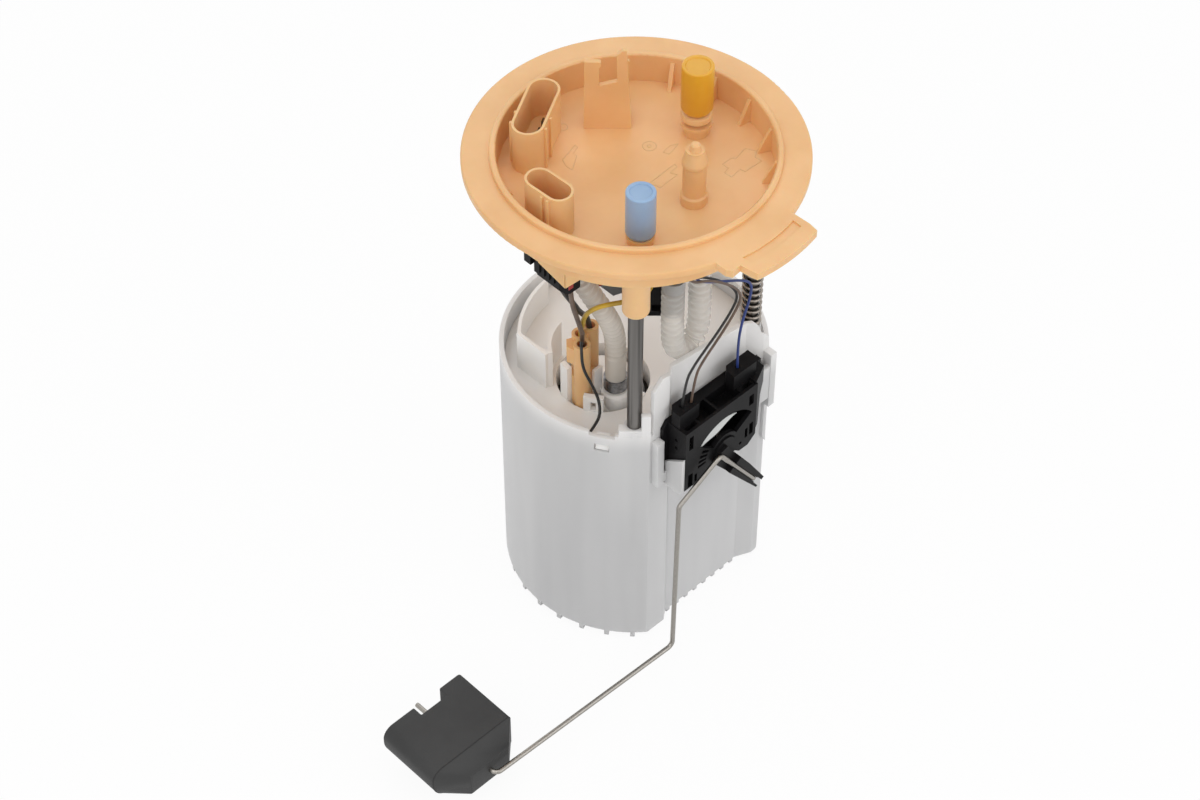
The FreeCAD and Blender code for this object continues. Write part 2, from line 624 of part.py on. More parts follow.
mouth_in = on_circle(ring_in, half_mouth)
mouth_out = on_circle(s.ring_clip_r, half_mouth)
loop(sk, [(mouth_out, half_mouth), (mouth_out, -half_mouth, s.ring_clip_r, True), (mouth_in, -half_mouth),
          (mouth_in, half_mouth, -ring_in, True)])
pad(ring, sk, s.ring_clip_thick)

# coil spring over the rear rod, from its boss to the pot
spring_low = val(s.guide_top + s.spring_wire_r + 0.05)
spring_high = val(s.rear_boss_z - s.spring_wire_r - 0.05)
coil_length = spring_high - spring_low
coil = Part.makeHelix(coil_length / val(s.spring_turns), coil_length, val(s.spring_mean_r))
start = coil.Edges[0].valueAt(coil.Edges[0].FirstParameter)
heading = coil.Edges[0].tangentAt(coil.Edges[0].FirstParameter)
wire_ring = Part.Wire([Part.Circle(start, heading, val(s.spring_wire_r)).toShape()])
return_spring = solid_node("return_spring", Part.Wire(coil.Edges).makePipeShell([wire_ring], True, True))
return_spring.Placement = Placement(Vector(val(rear_rod_x), val(rear_rod_y), spring_low), Rotation())

# harness plug, plug of the sender leads and valve block, all under the flange floor
harness_plug = new_body("harness_plug")
sk = sketch_on(harness_plug, "XY", at=(0, 0, s.plug_low))
loop(sk, [(s.plug_left, s.plug_front + 5), (s.plug_left + 1.5, s.plug_front), (s.plug_right, s.plug_front),
          (s.plug_right, s.plug_back), (s.plug_left, s.plug_back)])
pad(harness_plug, sk, floor_low - s.plug_low)
foot_left, foot_right = s.plug_left + 0.6, s.plug_right - 1
foot_front, foot_back = s.plug_front + 1.4, s.plug_back - 1.1
sk = sketch_on(harness_plug, "XY", at=(0, 0, s.plug_low - s.plug_foot))
loop(sk, [(foot_left, foot_front + 4.6), (foot_left + 1, foot_front), (foot_right, foot_front),
          (foot_right, foot_back), (foot_left, foot_back)])
pad(harness_plug, sk, s.plug_foot)
sk = sketch_on(harness_plug, "YZ", at=(s.plug_left, 0, 0))
for n in range(int(val(s.plug_ribs))):
    rib_y = s.plug_front + 7.5 + s.plug_rib_pitch * n
    rect(sk, rib_y, s.plug_low + 2, rib_y + 1.2, s.plug_low + 9)
pad(harness_plug, sk, 0.7, back=True)
sk = sketch_on(harness_plug, "XY", at=(0, 0, s.plug_low + s.plug_latch_high))
rect(sk, s.plug_left - 2, s.plug_back, s.plug_left + 3.5, s.plug_back + 4)
pad(harness_plug, sk, 5)

lead_plug = new_body("sender_lead_plug")
sk = sketch_on(lead_plug, "XY", at=(0, 0, s.lead_plug_low))
rect(sk, s.lead_plug_left, s.lead_plug_front, s.lead_plug_right, s.lead_plug_back)
pad(lead_plug, sk, floor_low - s.lead_plug_low)
sk = sketch_on(lead_plug, "XZ", at=(0, s.lead_plug_front, 0))
rect(sk, s.lead_plug_left + 4, s.lead_plug_low + 1.5, s.lead_plug_left + 7.5, s.lead_plug_low + 6)
pad(lead_plug, sk, 0.9)

block_at = (s.block_x, s.block_y)
block_half_long = s.block_long / 2
valve_block = new_body("valve_block")
sk = sketch_on(valve_block, "XY", at=(*block_at, s.block_low), turn=s.block_turn)
rect(sk, -block_half_long, 0, block_half_long, s.block_deep)
pad(valve_block, sk, s.block_neck - s.block_low)
sk = sketch_on(valve_block, "XY", at=(*block_at, s.block_neck), turn=s.block_turn)
rect(sk, 2 - block_half_long, 1.5, block_half_long - 2, s.block_deep)
pad(valve_block, sk, floor_low - s.block_neck)
doc.recompute()
rounded(valve_block, 1.2, upright)
doc.recompute()
sk = sketch_on(valve_block, "XZ", at=(*block_at, 0), turn=s.block_turn)
rect(sk, 2.8 - block_half_long, s.block_low + 3, 8 - block_half_long, s.block_low + 7)
pocket(valve_block, sk, 3)
# side outlet for the drain hose
sk = sketch_on(valve_block, "XY", at=(*block_at, s.block_neck), turn=s.block_turn)
rect(sk, s.stub_u - s.stub_half, s.stub_v - s.stub_half, s.stub_u + s.stub_half, 2.5)
pad(valve_block, sk, 5)
sk = sketch_on(valve_block, "XY", at=(*block_at, s.stub_low), turn=s.block_turn)
disc(sk, s.stub_u, s.stub_v, port_fit)
pad(valve_block, sk, s.block_neck - s.stub_low + 2)


# pot
def pot_outline(inset):
    r = s.pot_radius - inset
    flat = s.flat_y - inset
    recess = flat - s.recess_deep
    lean = inset * 0.5
    end = on_circle(r, flat)
    return [(-end, -flat, r, True), (-s.recess_left - s.slope_left + lean, -flat),
            (-s.recess_left + lean, -recess), (s.recess_right - lean, -recess),
            (s.recess_right + s.slope_right - lean, -flat), (end, -flat)]


pot = new_body("swirl_pot")
sk = sketch_on(pot, "XY", at=(0, 0, s.pot_bottom))
loop(sk, pot_outline(0))
pad(pot, sk, s.pot_rim - s.pot_bottom)
inside_low = s.pot_bottom + s.pot_floor
sk = sketch_on(pot, "XY", at=(0, 0, inside_low))
loop(sk, pot_outline(s.pot_wall))
pocket(pot, sk, s.pot_rim - inside_low, back=True)

# raised apron behind the level sender, with sloping shoulders and a top that falls to the right
flat, recess = s.flat_y, s.flat_y - s.recess_deep
left_in, left_out = -s.recess_left, -s.recess_left - s.slope_left
right_in, right_out = s.recess_right, s.recess_right + s.slope_right
thin = s.pot_wall
sk = sketch_on(pot, "XY", at=(0, 0, s.pot_rim - 4))
loop(sk, [(s.apron_left, -flat), (left_out, -flat), (left_in, -recess), (right_in, -recess),
          (right_out, -flat), (s.apron_right, -flat), (s.apron_right, thin - flat),
          (right_out - thin / 2, thin - flat), (right_in - thin / 2, thin - recess),
          (left_in + thin / 2, thin - recess), (left_out + thin / 2, thin - flat),
          (s.apron_left, thin - flat)])
pad(pot, sk, s.apron_top - s.pot_rim + 4)
right_top = s.apron_top - s.apron_fall
sk = sketch_on(pot, "XZ", at=(0, -flat - 5, 0))
loop(sk, [(s.apron_left - 5, s.pot_rim), (s.apron_left, s.pot_rim),
          (s.apron_left, s.apron_top - s.apron_corner), (s.apron_left + s.apron_corner, s.apron_top),
          (s.apron_right - 13, right_top), (s.apron_right - 8, right_top - 1),
          (s.apron_right - 6, right_top - 4), (s.apron_right - 4.5, right_top - 9),
          (s.apron_right, right_top - 14), (s.apron_right, s.pot_rim + 1),
          (s.apron_right + 5, s.pot_rim + 1), (s.apron_right + 5, s.apron_top + 5),
          (s.apron_left - 5, s.apron_top + 5)])
pocket(pot, sk, 14)

# guide tubes for the two rods, the front one behind a block and a post on the rim
web_turn = s.rear_rod_turn
sk = sketch_on(pot, "XY", at=(0, 0, s.pot_rim - 3), turn=s.front_rod_turn)
rect(sk, s.pot_radius - s.front_rod_in, -s.block_half, s.pot_radius - 0.3, s.block_half)
pad(pot, sk, s.block_rise + 3)
sk = sketch_on(pot, "XY", at=(0, 0, s.pot_rim - 3), turn=s.post_turn)
rect(sk, s.pot_radius - 2.4, -s.post_half, s.pot_radius - 0.1, s.post_half)
pad(pot, sk, s.post_rise + 3)
for x, y, low in rod_spots:
    sk = sketch_on(pot, "XY", at=(x, y, s.guide_end))
    disc(sk, 0, 0, s.guide_r)
    pad(pot, sk, s.guide_top - s.guide_end)
sk = sketch_on(pot, "XY", at=(0, 0, s.guide_end), turn=web_turn)
rect(sk, s.pot_radius - s.rear_rod_in + s.rod_r, -s.guide_web / 2, s.pot_radius - 1, s.guide_web / 2)
pad(pot, sk, s.pot_rim - s.guide_end - 2)
for x, y, low in rod_spots:
    sk = sketch_on(pot, "XY", at=(x, y, s.guide_end))
    disc(sk, 0, 0, s.rod_r + s.rod_gap)
    pocket(pot, sk, s.guide_top - s.guide_end + 4, back=True)
sk = sketch_on(pot, "XY", at=(front_rod_x, front_rod_y, s.guide_end))
disc(sk, 0, 0, s.rod_r + s.rod_relief)
pocket(pot, sk, 42)

# feet under the wall: around the round side and along the flat one
flat_turn = math.degrees(math.asin(val(s.flat_y / s.pot_radius)))
feet_first = 6 - flat_turn
sk = sketch_on(pot, "XY", at=(0, 0, s.pot_bottom - s.foot_high), turn=feet_first)
rect(sk, s.pot_radius - s.foot_deep - 0.5, -s.foot_wide / 2, s.pot_radius - 0.5, s.foot_wide / 2)
foot = pad(pot, sk, s.foot_high + 1)
around(pot, [foot], val(s.foot_count), 180 - 2 * feet_first)
sk = sketch_on(pot, "XY", at=(0, 0, s.pot_bottom - s.foot_high))
for n in range(int(val(s.flat_feet))):
    x = s.flat_foot_step * n - s.recess_left + 1.5
    rect(sk, x, 0.6 - recess, x + s.foot_wide, 3 - recess)
pad(pot, sk, s.foot_high + 1)

# rim step and the window for the holder's latch
window_low = s.pot_rim - s.latch_drop
for low, high, wide in ((s.pot_rim - s.rim_cut, s.pot_rim + 3, 2 * s.rim_cut_half),
                        (window_low, window_low + s.latch_high, s.latch_wide)):
    sk = sketch_on(pot, "XZ", turn=s.latch_turn)
    rect(sk, s.pot_radius - 4, low, s.pot_radius + 3, high)
    pocket(pot, sk, wide, both=True)

# left clip of the level sender: a rib, a bridge over the ear and a tongue along the flank
rib_right = s.ear_left - 2 * s.sender_gap
rib_left = rib_right - s.rib_wide
bridge_back = s.ear_y + s.sender_gap
tongue_in = s.sender_left - s.sender_gap
tongue_left = tongue_in - s.rib_thick
sk = sketch_on(pot, "XY", at=(0, 0, s.rib_low))
rect(sk, rib_left, -bridge_back - s.rib_thick, rib_right, 1 - s.flat_y)
pad(pot, sk, s.rib_high - s.rib_low)
sk = sketch_on(pot, "XY", at=(0, 0, s.bridge_low))
rect(sk, rib_left, -bridge_back - s.rib_thick, tongue_in, -bridge_back)
pad(pot, sk, s.bridge_high - s.bridge_low)
sk = sketch_on(pot, "YZ", at=(tongue_left, 0, 0))
loop(sk, [(-s.sender_front, s.tongue_low + 2), (2 - s.sender_front, s.tongue_low),
          (-bridge_back, s.tongue_low), (-bridge_back, s.tongue_high - s.tongue_drop),
          (-s.sender_front, s.tongue_high)])
pad(pot, sk, s.rib_thick)

# right clip: a rib with a lip over the ear, and the rail that runs down from it
clip_out = s.ear_right + s.right_clip_out
clip_in = clip_out - s.right_clip_wide
sk = sketch_on(pot, "XY", at=(0, 0, s.right_clip_low))
rect(sk, clip_in, -s.ear_y - 3, clip_out, 2 - s.flat_y)
pad(pot, sk, s.right_clip_high - s.right_clip_low)
sk = sketch_on(pot, "XY", at=(0, 0, s.right_clip_low + 6))
rect(sk, s.ear_right - s.clip_lip, -s.ear_y - 2.6, clip_out - 1, -s.ear_y - 0.1)
pad(pot, sk, 21)
sk = sketch_on(pot, "XZ", at=(0, 1 - s.flat_y, 0))
loop(sk, [(clip_in + 1, s.right_clip_low + 1), (clip_in + 1, s.rail_low + 4), (clip_out - 0.6, s.rail_low),
          (clip_out - 0.6, s.right_clip_low + 1)])
pad(pot, sk, 2.6)

# rim that the jet pump stands in, and the bleed holes of the floor valve
sk = sketch_on(pot, "XY", at=(s.jet_x, s.jet_y, inside_low))
disc(sk, 0, 0, s.jet_rim_r)
disc(sk, 0, 0, s.jet_base_r + 0.2)
pad(pot, sk, s.jet_rim_high)
sk = sketch_on(pot, "XY", at=(s.pump_x, 0, s.pot_bottom))
for n in range(6):
    x, y = polar(s.valve_ring_r, 60 * n)
    disc(sk, x, y, s.valve_hole_r)
disc(sk, 0, 0, s.valve_stem_r + 0.05)
pocket(pot, sk, s.pot_floor, back=True)
doc.recompute()
rounded(pot, 1.2, lambda e: circle_at(e, val(s.pot_bottom), val(s.pot_radius)))

# umbrella valve in the pot floor, with its button under the strainer
valve = new_body("floor_valve")
sk = sketch_on(valve, "XZ", at=(s.pump_x, 0, 0))
stem = s.valve_stem_r
umbrella_r = s.valve_ring_r + s.valve_hole_r + 1.4
loop(sk, [(0, s.pot_bottom - 2), (stem + 1.2, s.pot_bottom - 2), (stem + 1.2, s.pot_bottom),
          (stem, s.pot_bottom), (stem, inside_low), (umbrella_r, inside_low), (umbrella_r, inside_low + 0.7),
          (stem + 1, inside_low + 2), (0, inside_low + 2)])
turned(valve, sk)

# holder with the pump
holder = new_body("pump_holder")
pump_bottom = s.pot_bottom + s.pump_lift
deck_low = s.deck_z - s.deck_thick
cup_low = pump_bottom - s.cup_floor
cup_r = s.opening_r + s.cup_wall
sk = sketch_on(holder, "XY", at=(0, 0, deck_low))
loop(sk, pot_outline(s.pot_wall + s.deck_gap))
pad(holder, sk, s.deck_thick)
sk = sketch_on(holder, "XZ", at=(s.pump_x, 0, 0))
loop(sk, [(s.opening_r, deck_low + 0.5), (s.opening_r, pump_bottom), (s.cup_mouth_r, pump_bottom),
          (s.cup_mouth_r, cup_low), (cup_r, cup_low), (cup_r, deck_low - 3), (cup_r + 2.8, deck_low + 0.5)])
turned(holder, sk)
sk = sketch_on(holder, "XY", at=(0, 0, deck_low))
disc(sk, s.pump_x, 0, s.opening_r)
for x, y, low in rod_spots:
    disc(sk, x, y, s.guide_r + 0.25)
pocket(holder, sk, 6, back=True)
sk = sketch_on(holder, "XY", at=(0, 0, deck_low), turn=web_turn)
web_slot = s.guide_web / 2 + s.slot_gap
rect(sk, s.pot_radius - s.rear_rod_in + s.rod_r, -web_slot, s.pot_radius, web_slot)
pocket(holder, sk, 6, back=True)
sk = sketch_on(holder, "XY", at=(0, 0, deck_low))
loop(sk, [(20, 34), (20, 46), (38, 38), (44, 26)])
pocket(holder, sk, 6, back=True)

# open chamber at the rear left: a plate to the left, a wall around the pump, a wall along the pot
chamber_low = s.deck_z - 0.2
chamber_rise = s.chamber_high + 0.2
plate_right = s.chamber_left + s.chamber_wall
sk = sketch_on(holder, "XY", at=(0, 0, chamber_low))
rect(sk, s.chamber_left, s.chamber_near, plate_right, s.chamber_far)
pad(holder, sk, chamber_rise)


def curved_wall(x, y, radius, turn0, turn1, high):
    sk = sketch_on(holder, "XY", at=(x, y, chamber_low))
    inner = radius - s.chamber_wall
    start, end = (polar(radius, turn) for turn in (turn0, turn1))
    start_in, end_in = (polar(inner, turn) for turn in (turn0, turn1))
    loop(sk, [start, (*end, radius), end_in, (*start_in, -inner)])
    pad(holder, sk, high)


around_pump_r = s.opening_r + 3.4
curved_wall(s.pump_x, 0, around_pump_r, 100, 149, chamber_rise)
along_pot_r = s.pot_radius - 8.5
curved_wall(0, 0, along_pot_r, 96, 143, chamber_rise - 6)
near_x, near_y = polar(around_pump_r - s.chamber_wall, 149)
sk = sketch_on(holder, "XY", at=(0, 0, chamber_low))
loop(sk, [(s.chamber_left, s.chamber_near + 1), (s.pump_x + near_x, near_y),
          (s.pump_x + near_x + 0.8, near_y + 1.4), (plate_right, s.chamber_near + 2.4)])
pad(holder, sk, chamber_rise)


# rest pads against the pump, the tall one beside the plug
def rest_pad(turn, high, half):
    sk = sketch_on(holder, "XY", at=(s.pump_x, 0, s.deck_z - s.rest_low), turn=turn)
    rect(sk, s.opening_r - s.rest_thick + 0.4, -half, s.opening_r + 0.4, half)
    pad(holder, sk, s.rest_low + high)


rest_pad(172, s.finger_high, s.rest_half)
rest_pad(30, 1, s.rest_half)
rest_pad(-80, 1, s.rest_half)
rest_pad(214, s.hook_high, s.hook_half)
# notch that makes a hook of the pad in front
sk = sketch_on(holder, "XY", at=(s.pump_x, 0, s.deck_z + 1), turn=214)
rect(sk, s.opening_r - s.rest_thick, -1.2, s.opening_r + 1, 1.2)
pocket(holder, sk, s.hook_high - 4, back=True)

# latch behind the window in the pot's wall
sk = sketch_on(holder, "XZ", turn=s.latch_turn)
latch_out = s.pot_radius - s.pot_wall - s.deck_gap - 0.2
latch_in = latch_out - 2
nose_low = window_low + 0.4
loop(sk, [(latch_in, s.deck_z - 1), (latch_out, s.deck_z - 1), (latch_out, nose_low),
          (latch_out + 1.6, nose_low), (latch_out, nose_low + 2.6), (latch_out, s.pot_rim - 3),
          (latch_in, s.pot_rim - 3)])
pad(holder, sk, s.latch_wide - 1, both=True)

pump = new_body("pump_can")
sk = sketch_on(pump, "XZ", at=(s.pump_x, 0, 0))
can_lip = s.pump_r - 0.9
loop(sk, [(0, pump_bottom), (s.pump_r - 1.5, pump_bottom), (s.pump_r, pump_bottom + 1.5, 1.5),
          (s.pump_r, s.pump_top + 1), (can_lip, s.pump_top + 1.6), (can_lip, s.pump_top), (0, s.pump_top)])
turned(pump, sk)

cover = new_body("pump_end_cover")
sk = sketch_on(cover, "XZ", at=(s.pump_x, 0, 0))
loop(sk, [(0, s.pump_top), (s.pump_r - 1, s.pump_top), (s.pump_r - 1, s.pump_top + 5),
          (s.pump_r - 3.4, s.cover_top), (0, s.cover_top)])
turned(cover, sk)
sk = sketch_on(cover, "XZ", at=(s.outlet_x, s.outlet_y, 0))
spout_r = s.outlet_r - 0.5
loop(sk, [(0, s.cover_top - 2), (s.dome_r, s.cover_top - 2), (s.dome_r, s.dome_top - 1),
          (s.dome_r - 1, s.dome_top), (spout_r, s.dome_top), (spout_r, s.outlet_top - 3),
          (s.outlet_r, s.outlet_top - 2.4), (s.outlet_r - 1, s.outlet_top), (0, s.outlet_top)])
turned(cover, sk)
sk = sketch_on(cover, "XY", at=(s.outlet_x, s.outlet_y, s.outlet_top))
disc(sk, 0, 0, s.outlet_bore)
pocket(cover, sk, 18)
# guide plate for the plug, between its tubes and the dome
sk = sketch_on(cover, "XY", at=(s.outlet_x - 6.2, s.outlet_y + 5.5, s.cover_top - 1))
rect(sk, -2.5, -0.8, 2.5, 0.8)
pad(cover, sk, s.finger_high)

isolator = new_body("rubber_isolator")
sk = sketch_on(isolator, "XZ", at=(s.pump_x, 0, 0))
sleeve_low = pump_bottom + s.sleeve_lift
sleeve_top = s.deck_z - s.rest_low - 0.5
sleeve_pitch = (sleeve_top - sleeve_low - s.sleeve_band) / 3
inner, outer = s.pump_r + 0.05, s.opening_r - 0.05
points = [(inner, sleeve_low), (outer, sleeve_low)]
for n in range(3):
    low = sleeve_low + sleeve_pitch * n + s.sleeve_band
    high = sleeve_low + sleeve_pitch * (n + 1)
    points += [(outer, low), (inner + 1, low), (inner + 1, high), (outer, high)]
points += [(outer, sleeve_top), (inner, sleeve_top)]
loop(sk, points)
turned(isolator, sk)

inlet = new_body("pump_inlet_cover")
sk = sketch_on(inlet, "XZ", at=(s.pump_x, 0, 0))
inlet_low = pump_bottom - s.inlet_high
strainer_top = inlet_low - s.inlet_neck
loop(sk, [(0, strainer_top), (s.inlet_neck_r, strainer_top), (s.inlet_neck_r, inlet_low),
          (s.inlet_r, inlet_low), (s.inlet_r, pump_bottom), (0, pump_bottom)])
turned(inlet, sk)

strainer = new_body("suction_strainer")
sk = sketch_on(strainer, "XZ", at=(s.pump_x, 0, 0))
strainer_low = strainer_top - s.strainer_high
loop(sk, [(0, strainer_low), (s.strainer_r - 2, strainer_low), (s.strainer_r, strainer_low + 2),
          (s.strainer_r, strainer_low + 4), (s.inlet_neck_r * 2, strainer_top), (0, strainer_top)])
turned(strainer, sk)

jet = new_body("jet_pump")
jet_shoulder = inside_low + s.jet_rim_high + 7
sk = sketch_on(jet, "XZ", at=(s.jet_x, s.jet_y, 0))
loop(sk, [(0, inside_low), (s.jet_base_r, inside_low), (s.jet_base_r, jet_shoulder),
          (s.jet_r, jet_shoulder + 5), (s.jet_r, deck_low - 6), (s.jet_r - 1.5, deck_low - 5),
          (0, deck_low - 5)])
turned(jet, sk)
sk = sketch_on(jet, "YZ", at=(s.jet_x, 0, 0))
disc(sk, s.jet_y, inside_low + s.jet_rim_high + s.jet_nozzle_r + 0.3, s.jet_nozzle_r)
pad(jet, sk, s.jet_nozzle_long)

# three-way electric plug that stands on the end cover
plug = new_body("pump_plug")
plug_foot_z = s.cover_top + 0.02
plug_tubes = [(s.plug_x + dx, s.plug_y + dy, s.plug_top + dz)
              for dx, dy, dz in ((0, 0, 0), (3.9, 5.3, 0), (9.4, 4.5, 2))]
for x, y, high in plug_tubes:
    sk = sketch_on(plug, "XY", at=(x, y, plug_foot_z))
    disc(sk, 0, 0, s.plug_tube_r)
    pad(plug, sk, high - plug_foot_z)
sk = sketch_on(plug, "XY", at=(s.plug_x, s.plug_y, plug_foot_z))
loop(sk, [(-1, -3), (9.5, 1), (12.6, 5), (9.4, 8), (1.5, 8.6), (-3.2, 3.2)])
pad(plug, sk, s.plug_web)
sk = sketch_on(plug, "XY", at=(s.plug_x, s.plug_y, s.plug_top - 12))
loop(sk, [(-3.6, 1), (1, 1), (2, 7), (-1.4, 8.6), (-4.6, 5)])
pad(plug, sk, 9.5)
for x, y, high in plug_tubes:
    sk = sketch_on(plug, "XY", at=(x, y, high))
    disc(sk, 0, 0, s.plug_bore)
    pocket(plug, sk, 9)

clamp = new_body("hose_clamp")
clamp_out = s.hose_r + s.clamp_thick
sk = sketch_on(clamp, "XY", at=(s.outlet_x, s.outlet_y, s.clamp_z), turn=s.clamp_turn)
disc(sk, 0, 0, clamp_out)
disc(sk, 0, 0, s.hose_r + 0.02)
pad(clamp, sk, s.clamp_high)
sk = sketch_on(clamp, "XY", at=(s.outlet_x, s.outlet_y, s.clamp_z), turn=s.clamp_turn)
rect(sk, clamp_out - 0.3, -1.3, clamp_out + 1.6, 1.3)
pad(clamp, sk, s.clamp_high)

# routes of the hoses and leads, from the upper end down or from piece to piece
feed_route = [(-44, -6, -24.6), (-44, -6.5, -34), (-39, -11.5, -50), (-32, -15.8, -67), (-25, -13, -84),
              (-23, -11.7, -98), (-23, -11.7, -121.5)]
drain_route = [(-13.4, -36.9, -41), (-13.6, -36.9, -62), (-12.6, -37, -88.9), (3.4, -36.9, -88.9),
               (4.2, -36.4, -60), (5.3, -33.5, -40), (5.5, -33, -18)]
lead_routes = {
    "pump_lead_brown": (1.1, [
        (-53.5, -15.2, -35.8), (-53.4, -15.7, -44), (-47.4, -13, -60), (-41.7, -9.2, -74),
        (-35.5, -3.3, -84), (-35.6, -3.1, -98)]),
    "pump_lead_yellow": (1.1, [
        (-15.8, -26.6, -44), (-23, -34.5, -43), (-35, -33, -42.5), (-43, -24, -46), (-45, -17.5, -53),
        (-43.5, -12.5, -62), (-38.6, -6.6, -76), (-32.9, 0.4, -84), (-32.3, 1.6, -98)]),
    "pump_lead_black": (1.3, [
        (-54, -8, -36.2), (-51, -8.5, -44), (-44, -7, -57), (-37, -3.5, -70), (-28.4, 0, -81),
        (-26.8, 0.8, -95)]),
    "pump_lead_red": (0.9, [
        (-53, -1, -36.1), (-49.5, -1.5, -43), (-43.5, -3, -50), (-36, -5, -54.5), (-28, -8, -55),
        (-21, -13.5, -51), (-15.2, -20.1, -46)]),
    "sender_lead_blue": (0.62, [
        (11.3, -54, -104), (10.7, -54, -88), (12.5, -54, -74), (18, -54, -60), (17.8, -53.4, -52.5),
        (9, -52.5, -46.5), (-7.5, -51, -37.6), (-15, -50.6, -31), (-15.6, -50.6, -24.1)]),
    "sender_lead_black": (0.6, [
        (-23.5, -53.6, -104), (-21.1, -53.2, -88), (-16.4, -53, -82), (-8.6, -53, -76), (-1.4, -53.1, -70.6),
        (7, -53, -63), (10.4, -53, -57), (8.6, -52, -51.5), (3, -50.4, -44.5), (-7, -48.8, -36),
        (-16, -48.4, -31), (-18, -48.4, -24.1)]),
    "sender_lead_brown": (0.6, [
        (-18.6, -54.4, -104), (-16.6, -54.5, -86.5), (-12, -54.6, -80.3), (-4.6, -54.6, -74.3),
        (2.6, -54.6, -68), (9, -54.6, -61), (11, -54.5, -56), (8, -54, -49.5), (1, -53.7, -42),
        (-8, -52.8, -34.5), (-18.5, -51.8, -30), (-20.5, -51.4, -24.1)]),
    "ground_lead": (0.7, [
        (-37.3, -4.5, -98), (-37.3, -4.5, -86.3), (-41.2, -8.6, -84.6), (-43, -11, -95), (-40.5, -14.5, -105),
        (-39.5, -18, -113), (-42, -21.5, -118), (-47, -23.5, -119.4), (-53.2, -25.6, -119)]),
}

# level sender
sender = new_body("sender_housing")
left, right, top, low = s.sender_left, s.sender_right, s.sender_top, s.sender_low
sender_back = s.flat_y - s.recess_deep + s.sender_gap
base_y = -sender_back
ear_y = -s.ear_y
front_y = -s.sender_front
base_low = low - 2.5
sk = sketch_on(sender, "XZ", at=(0, base_y, 0))
rect(sk, s.sender_gap - s.recess_left, base_low, s.recess_right - s.sender_gap, top - 2)
pad(sender, sk, s.ear_y - sender_back)
ear_back = s.flat_y + s.sender_gap / 3
ear_left, ear_right = s.ear_left + 0.2, s.ear_right - 0.2
sk = sketch_on(sender, "XZ", at=(0, -ear_back, 0))
loop(sk, [(ear_left, low - 0.5), (ear_left, top - 4), (left, top), (right + 8, top), (ear_right, top - 3),
          (ear_right, low + 3.5), (right + 6, base_low), (left - 1, base_low)])
pad(sender, sk, s.ear_y - ear_back)
front_back_y = ear_y + 0.5
sk = sketch_on(sender, "XZ", at=(0, front_back_y, 0))
loop(sk, [(left, top), (left, low), (left + 12, low), (s.hub_x - 7.5, low + 2.6), (s.hub_x + 7, low + 2.6),
          (s.hub_x + 10, low), (right - 4.6, low), (right, low + 4), (right, top)])
pad(sender, sk, s.sender_front - s.ear_y + 0.5)
# flank that runs back from the front's right edge
flank_low = low + 5.5
flank_top = top + 1
sk = sketch_on(sender, "XY", at=(0, 0, flank_low))
loop(sk, [(right - 1, front_y + 0.6), (right, front_y + 0.6), (right + 9, front_y + 5),
          (right + 11.5, front_back_y), (right - 1, front_back_y)])
pad(sender, sk, flank_top - flank_low)
sk = sketch_on(sender, "XZ", at=(0, front_y, 0))
loop(sk, [(right + 4, flank_low - 1), (right + 5.5, top - 14), (right + 9, top - 9),
          (right + 9, flank_top + 1), (right + 14, flank_top + 1), (right + 14, flank_low - 1)])
pocket(sender, sk, 9)
# terminal blocks with their lead holes
for x0, x1 in ((left + 0.3, left + 14.5), (right - 11.1, right + 5.3)):
    sk = sketch_on(sender, "XY", at=(0, 0, top - 1))
    loop(sk, [(x0, -s.terminal_front), (x1 - 2.2, -s.terminal_front), (x1, 2.2 - s.terminal_front),
              (x1, -s.terminal_back), (x0 + 2.5, -s.terminal_back), (x0, -2.5 - s.terminal_back)])
    pad(sender, sk, s.terminal_rise + 1)
for label in ("sender_lead_blue", "sender_lead_black", "sender_lead_brown"):
    x, y, z = lead_routes[label][1][0]
    sk = sketch_on(sender, "XY", at=(0, 0, top + s.terminal_rise))
    disc(sk, x, y, s.lead_hole_r)
    pocket(sender, sk, 5)
# open trough with three webs
web_half = 0.6
web_spots = (left + 1.6, left + 9.5, s.hub_x - 4, right - 9, right - 1.4)
sk = sketch_on(sender, "XY", at=(0, 0, top))
for n, (x0, x1) in enumerate(zip(web_spots, web_spots[1:])):
    # the outer two bays stop in front of the terminal blocks
    back = -0.3 - s.terminal_front if n in (0, 3) else -s.ear_y - 1.3
    rect(sk, x0 + web_half, front_y + 1.5, x1 - web_half, back)
pocket(sender, sk, s.trough_deep)
# chamber behind the front
sk = sketch_on(sender, "XZ", at=(0, front_y + s.face_thick, 0))
chamber_top = top - s.trough_deep - 1.4
rect(sk, left + 2, low + 5, right - 2, chamber_top)
pocket(sender, sk, s.sender_front - s.face_thick - s.ear_y + 0.2)


def ring_piece(x, z, r_in, r_out, turn0, turn1):
    # outline of a piece of a ring about (x, z)
    (in_x0, in_z0), (in_x1, in_z1) = (polar(r_in, turn) for turn in (turn0, turn1))
    (out_x0, out_z0), (out_x1, out_z1) = (polar(r_out, turn) for turn in (turn0, turn1))
    return [(x + in_x0, z + in_z0, -1 * r_in), (x + out_x0, z + out_z0),
            (x + out_x1, z + out_z1, r_out), (x + in_x1, z + in_z1)]


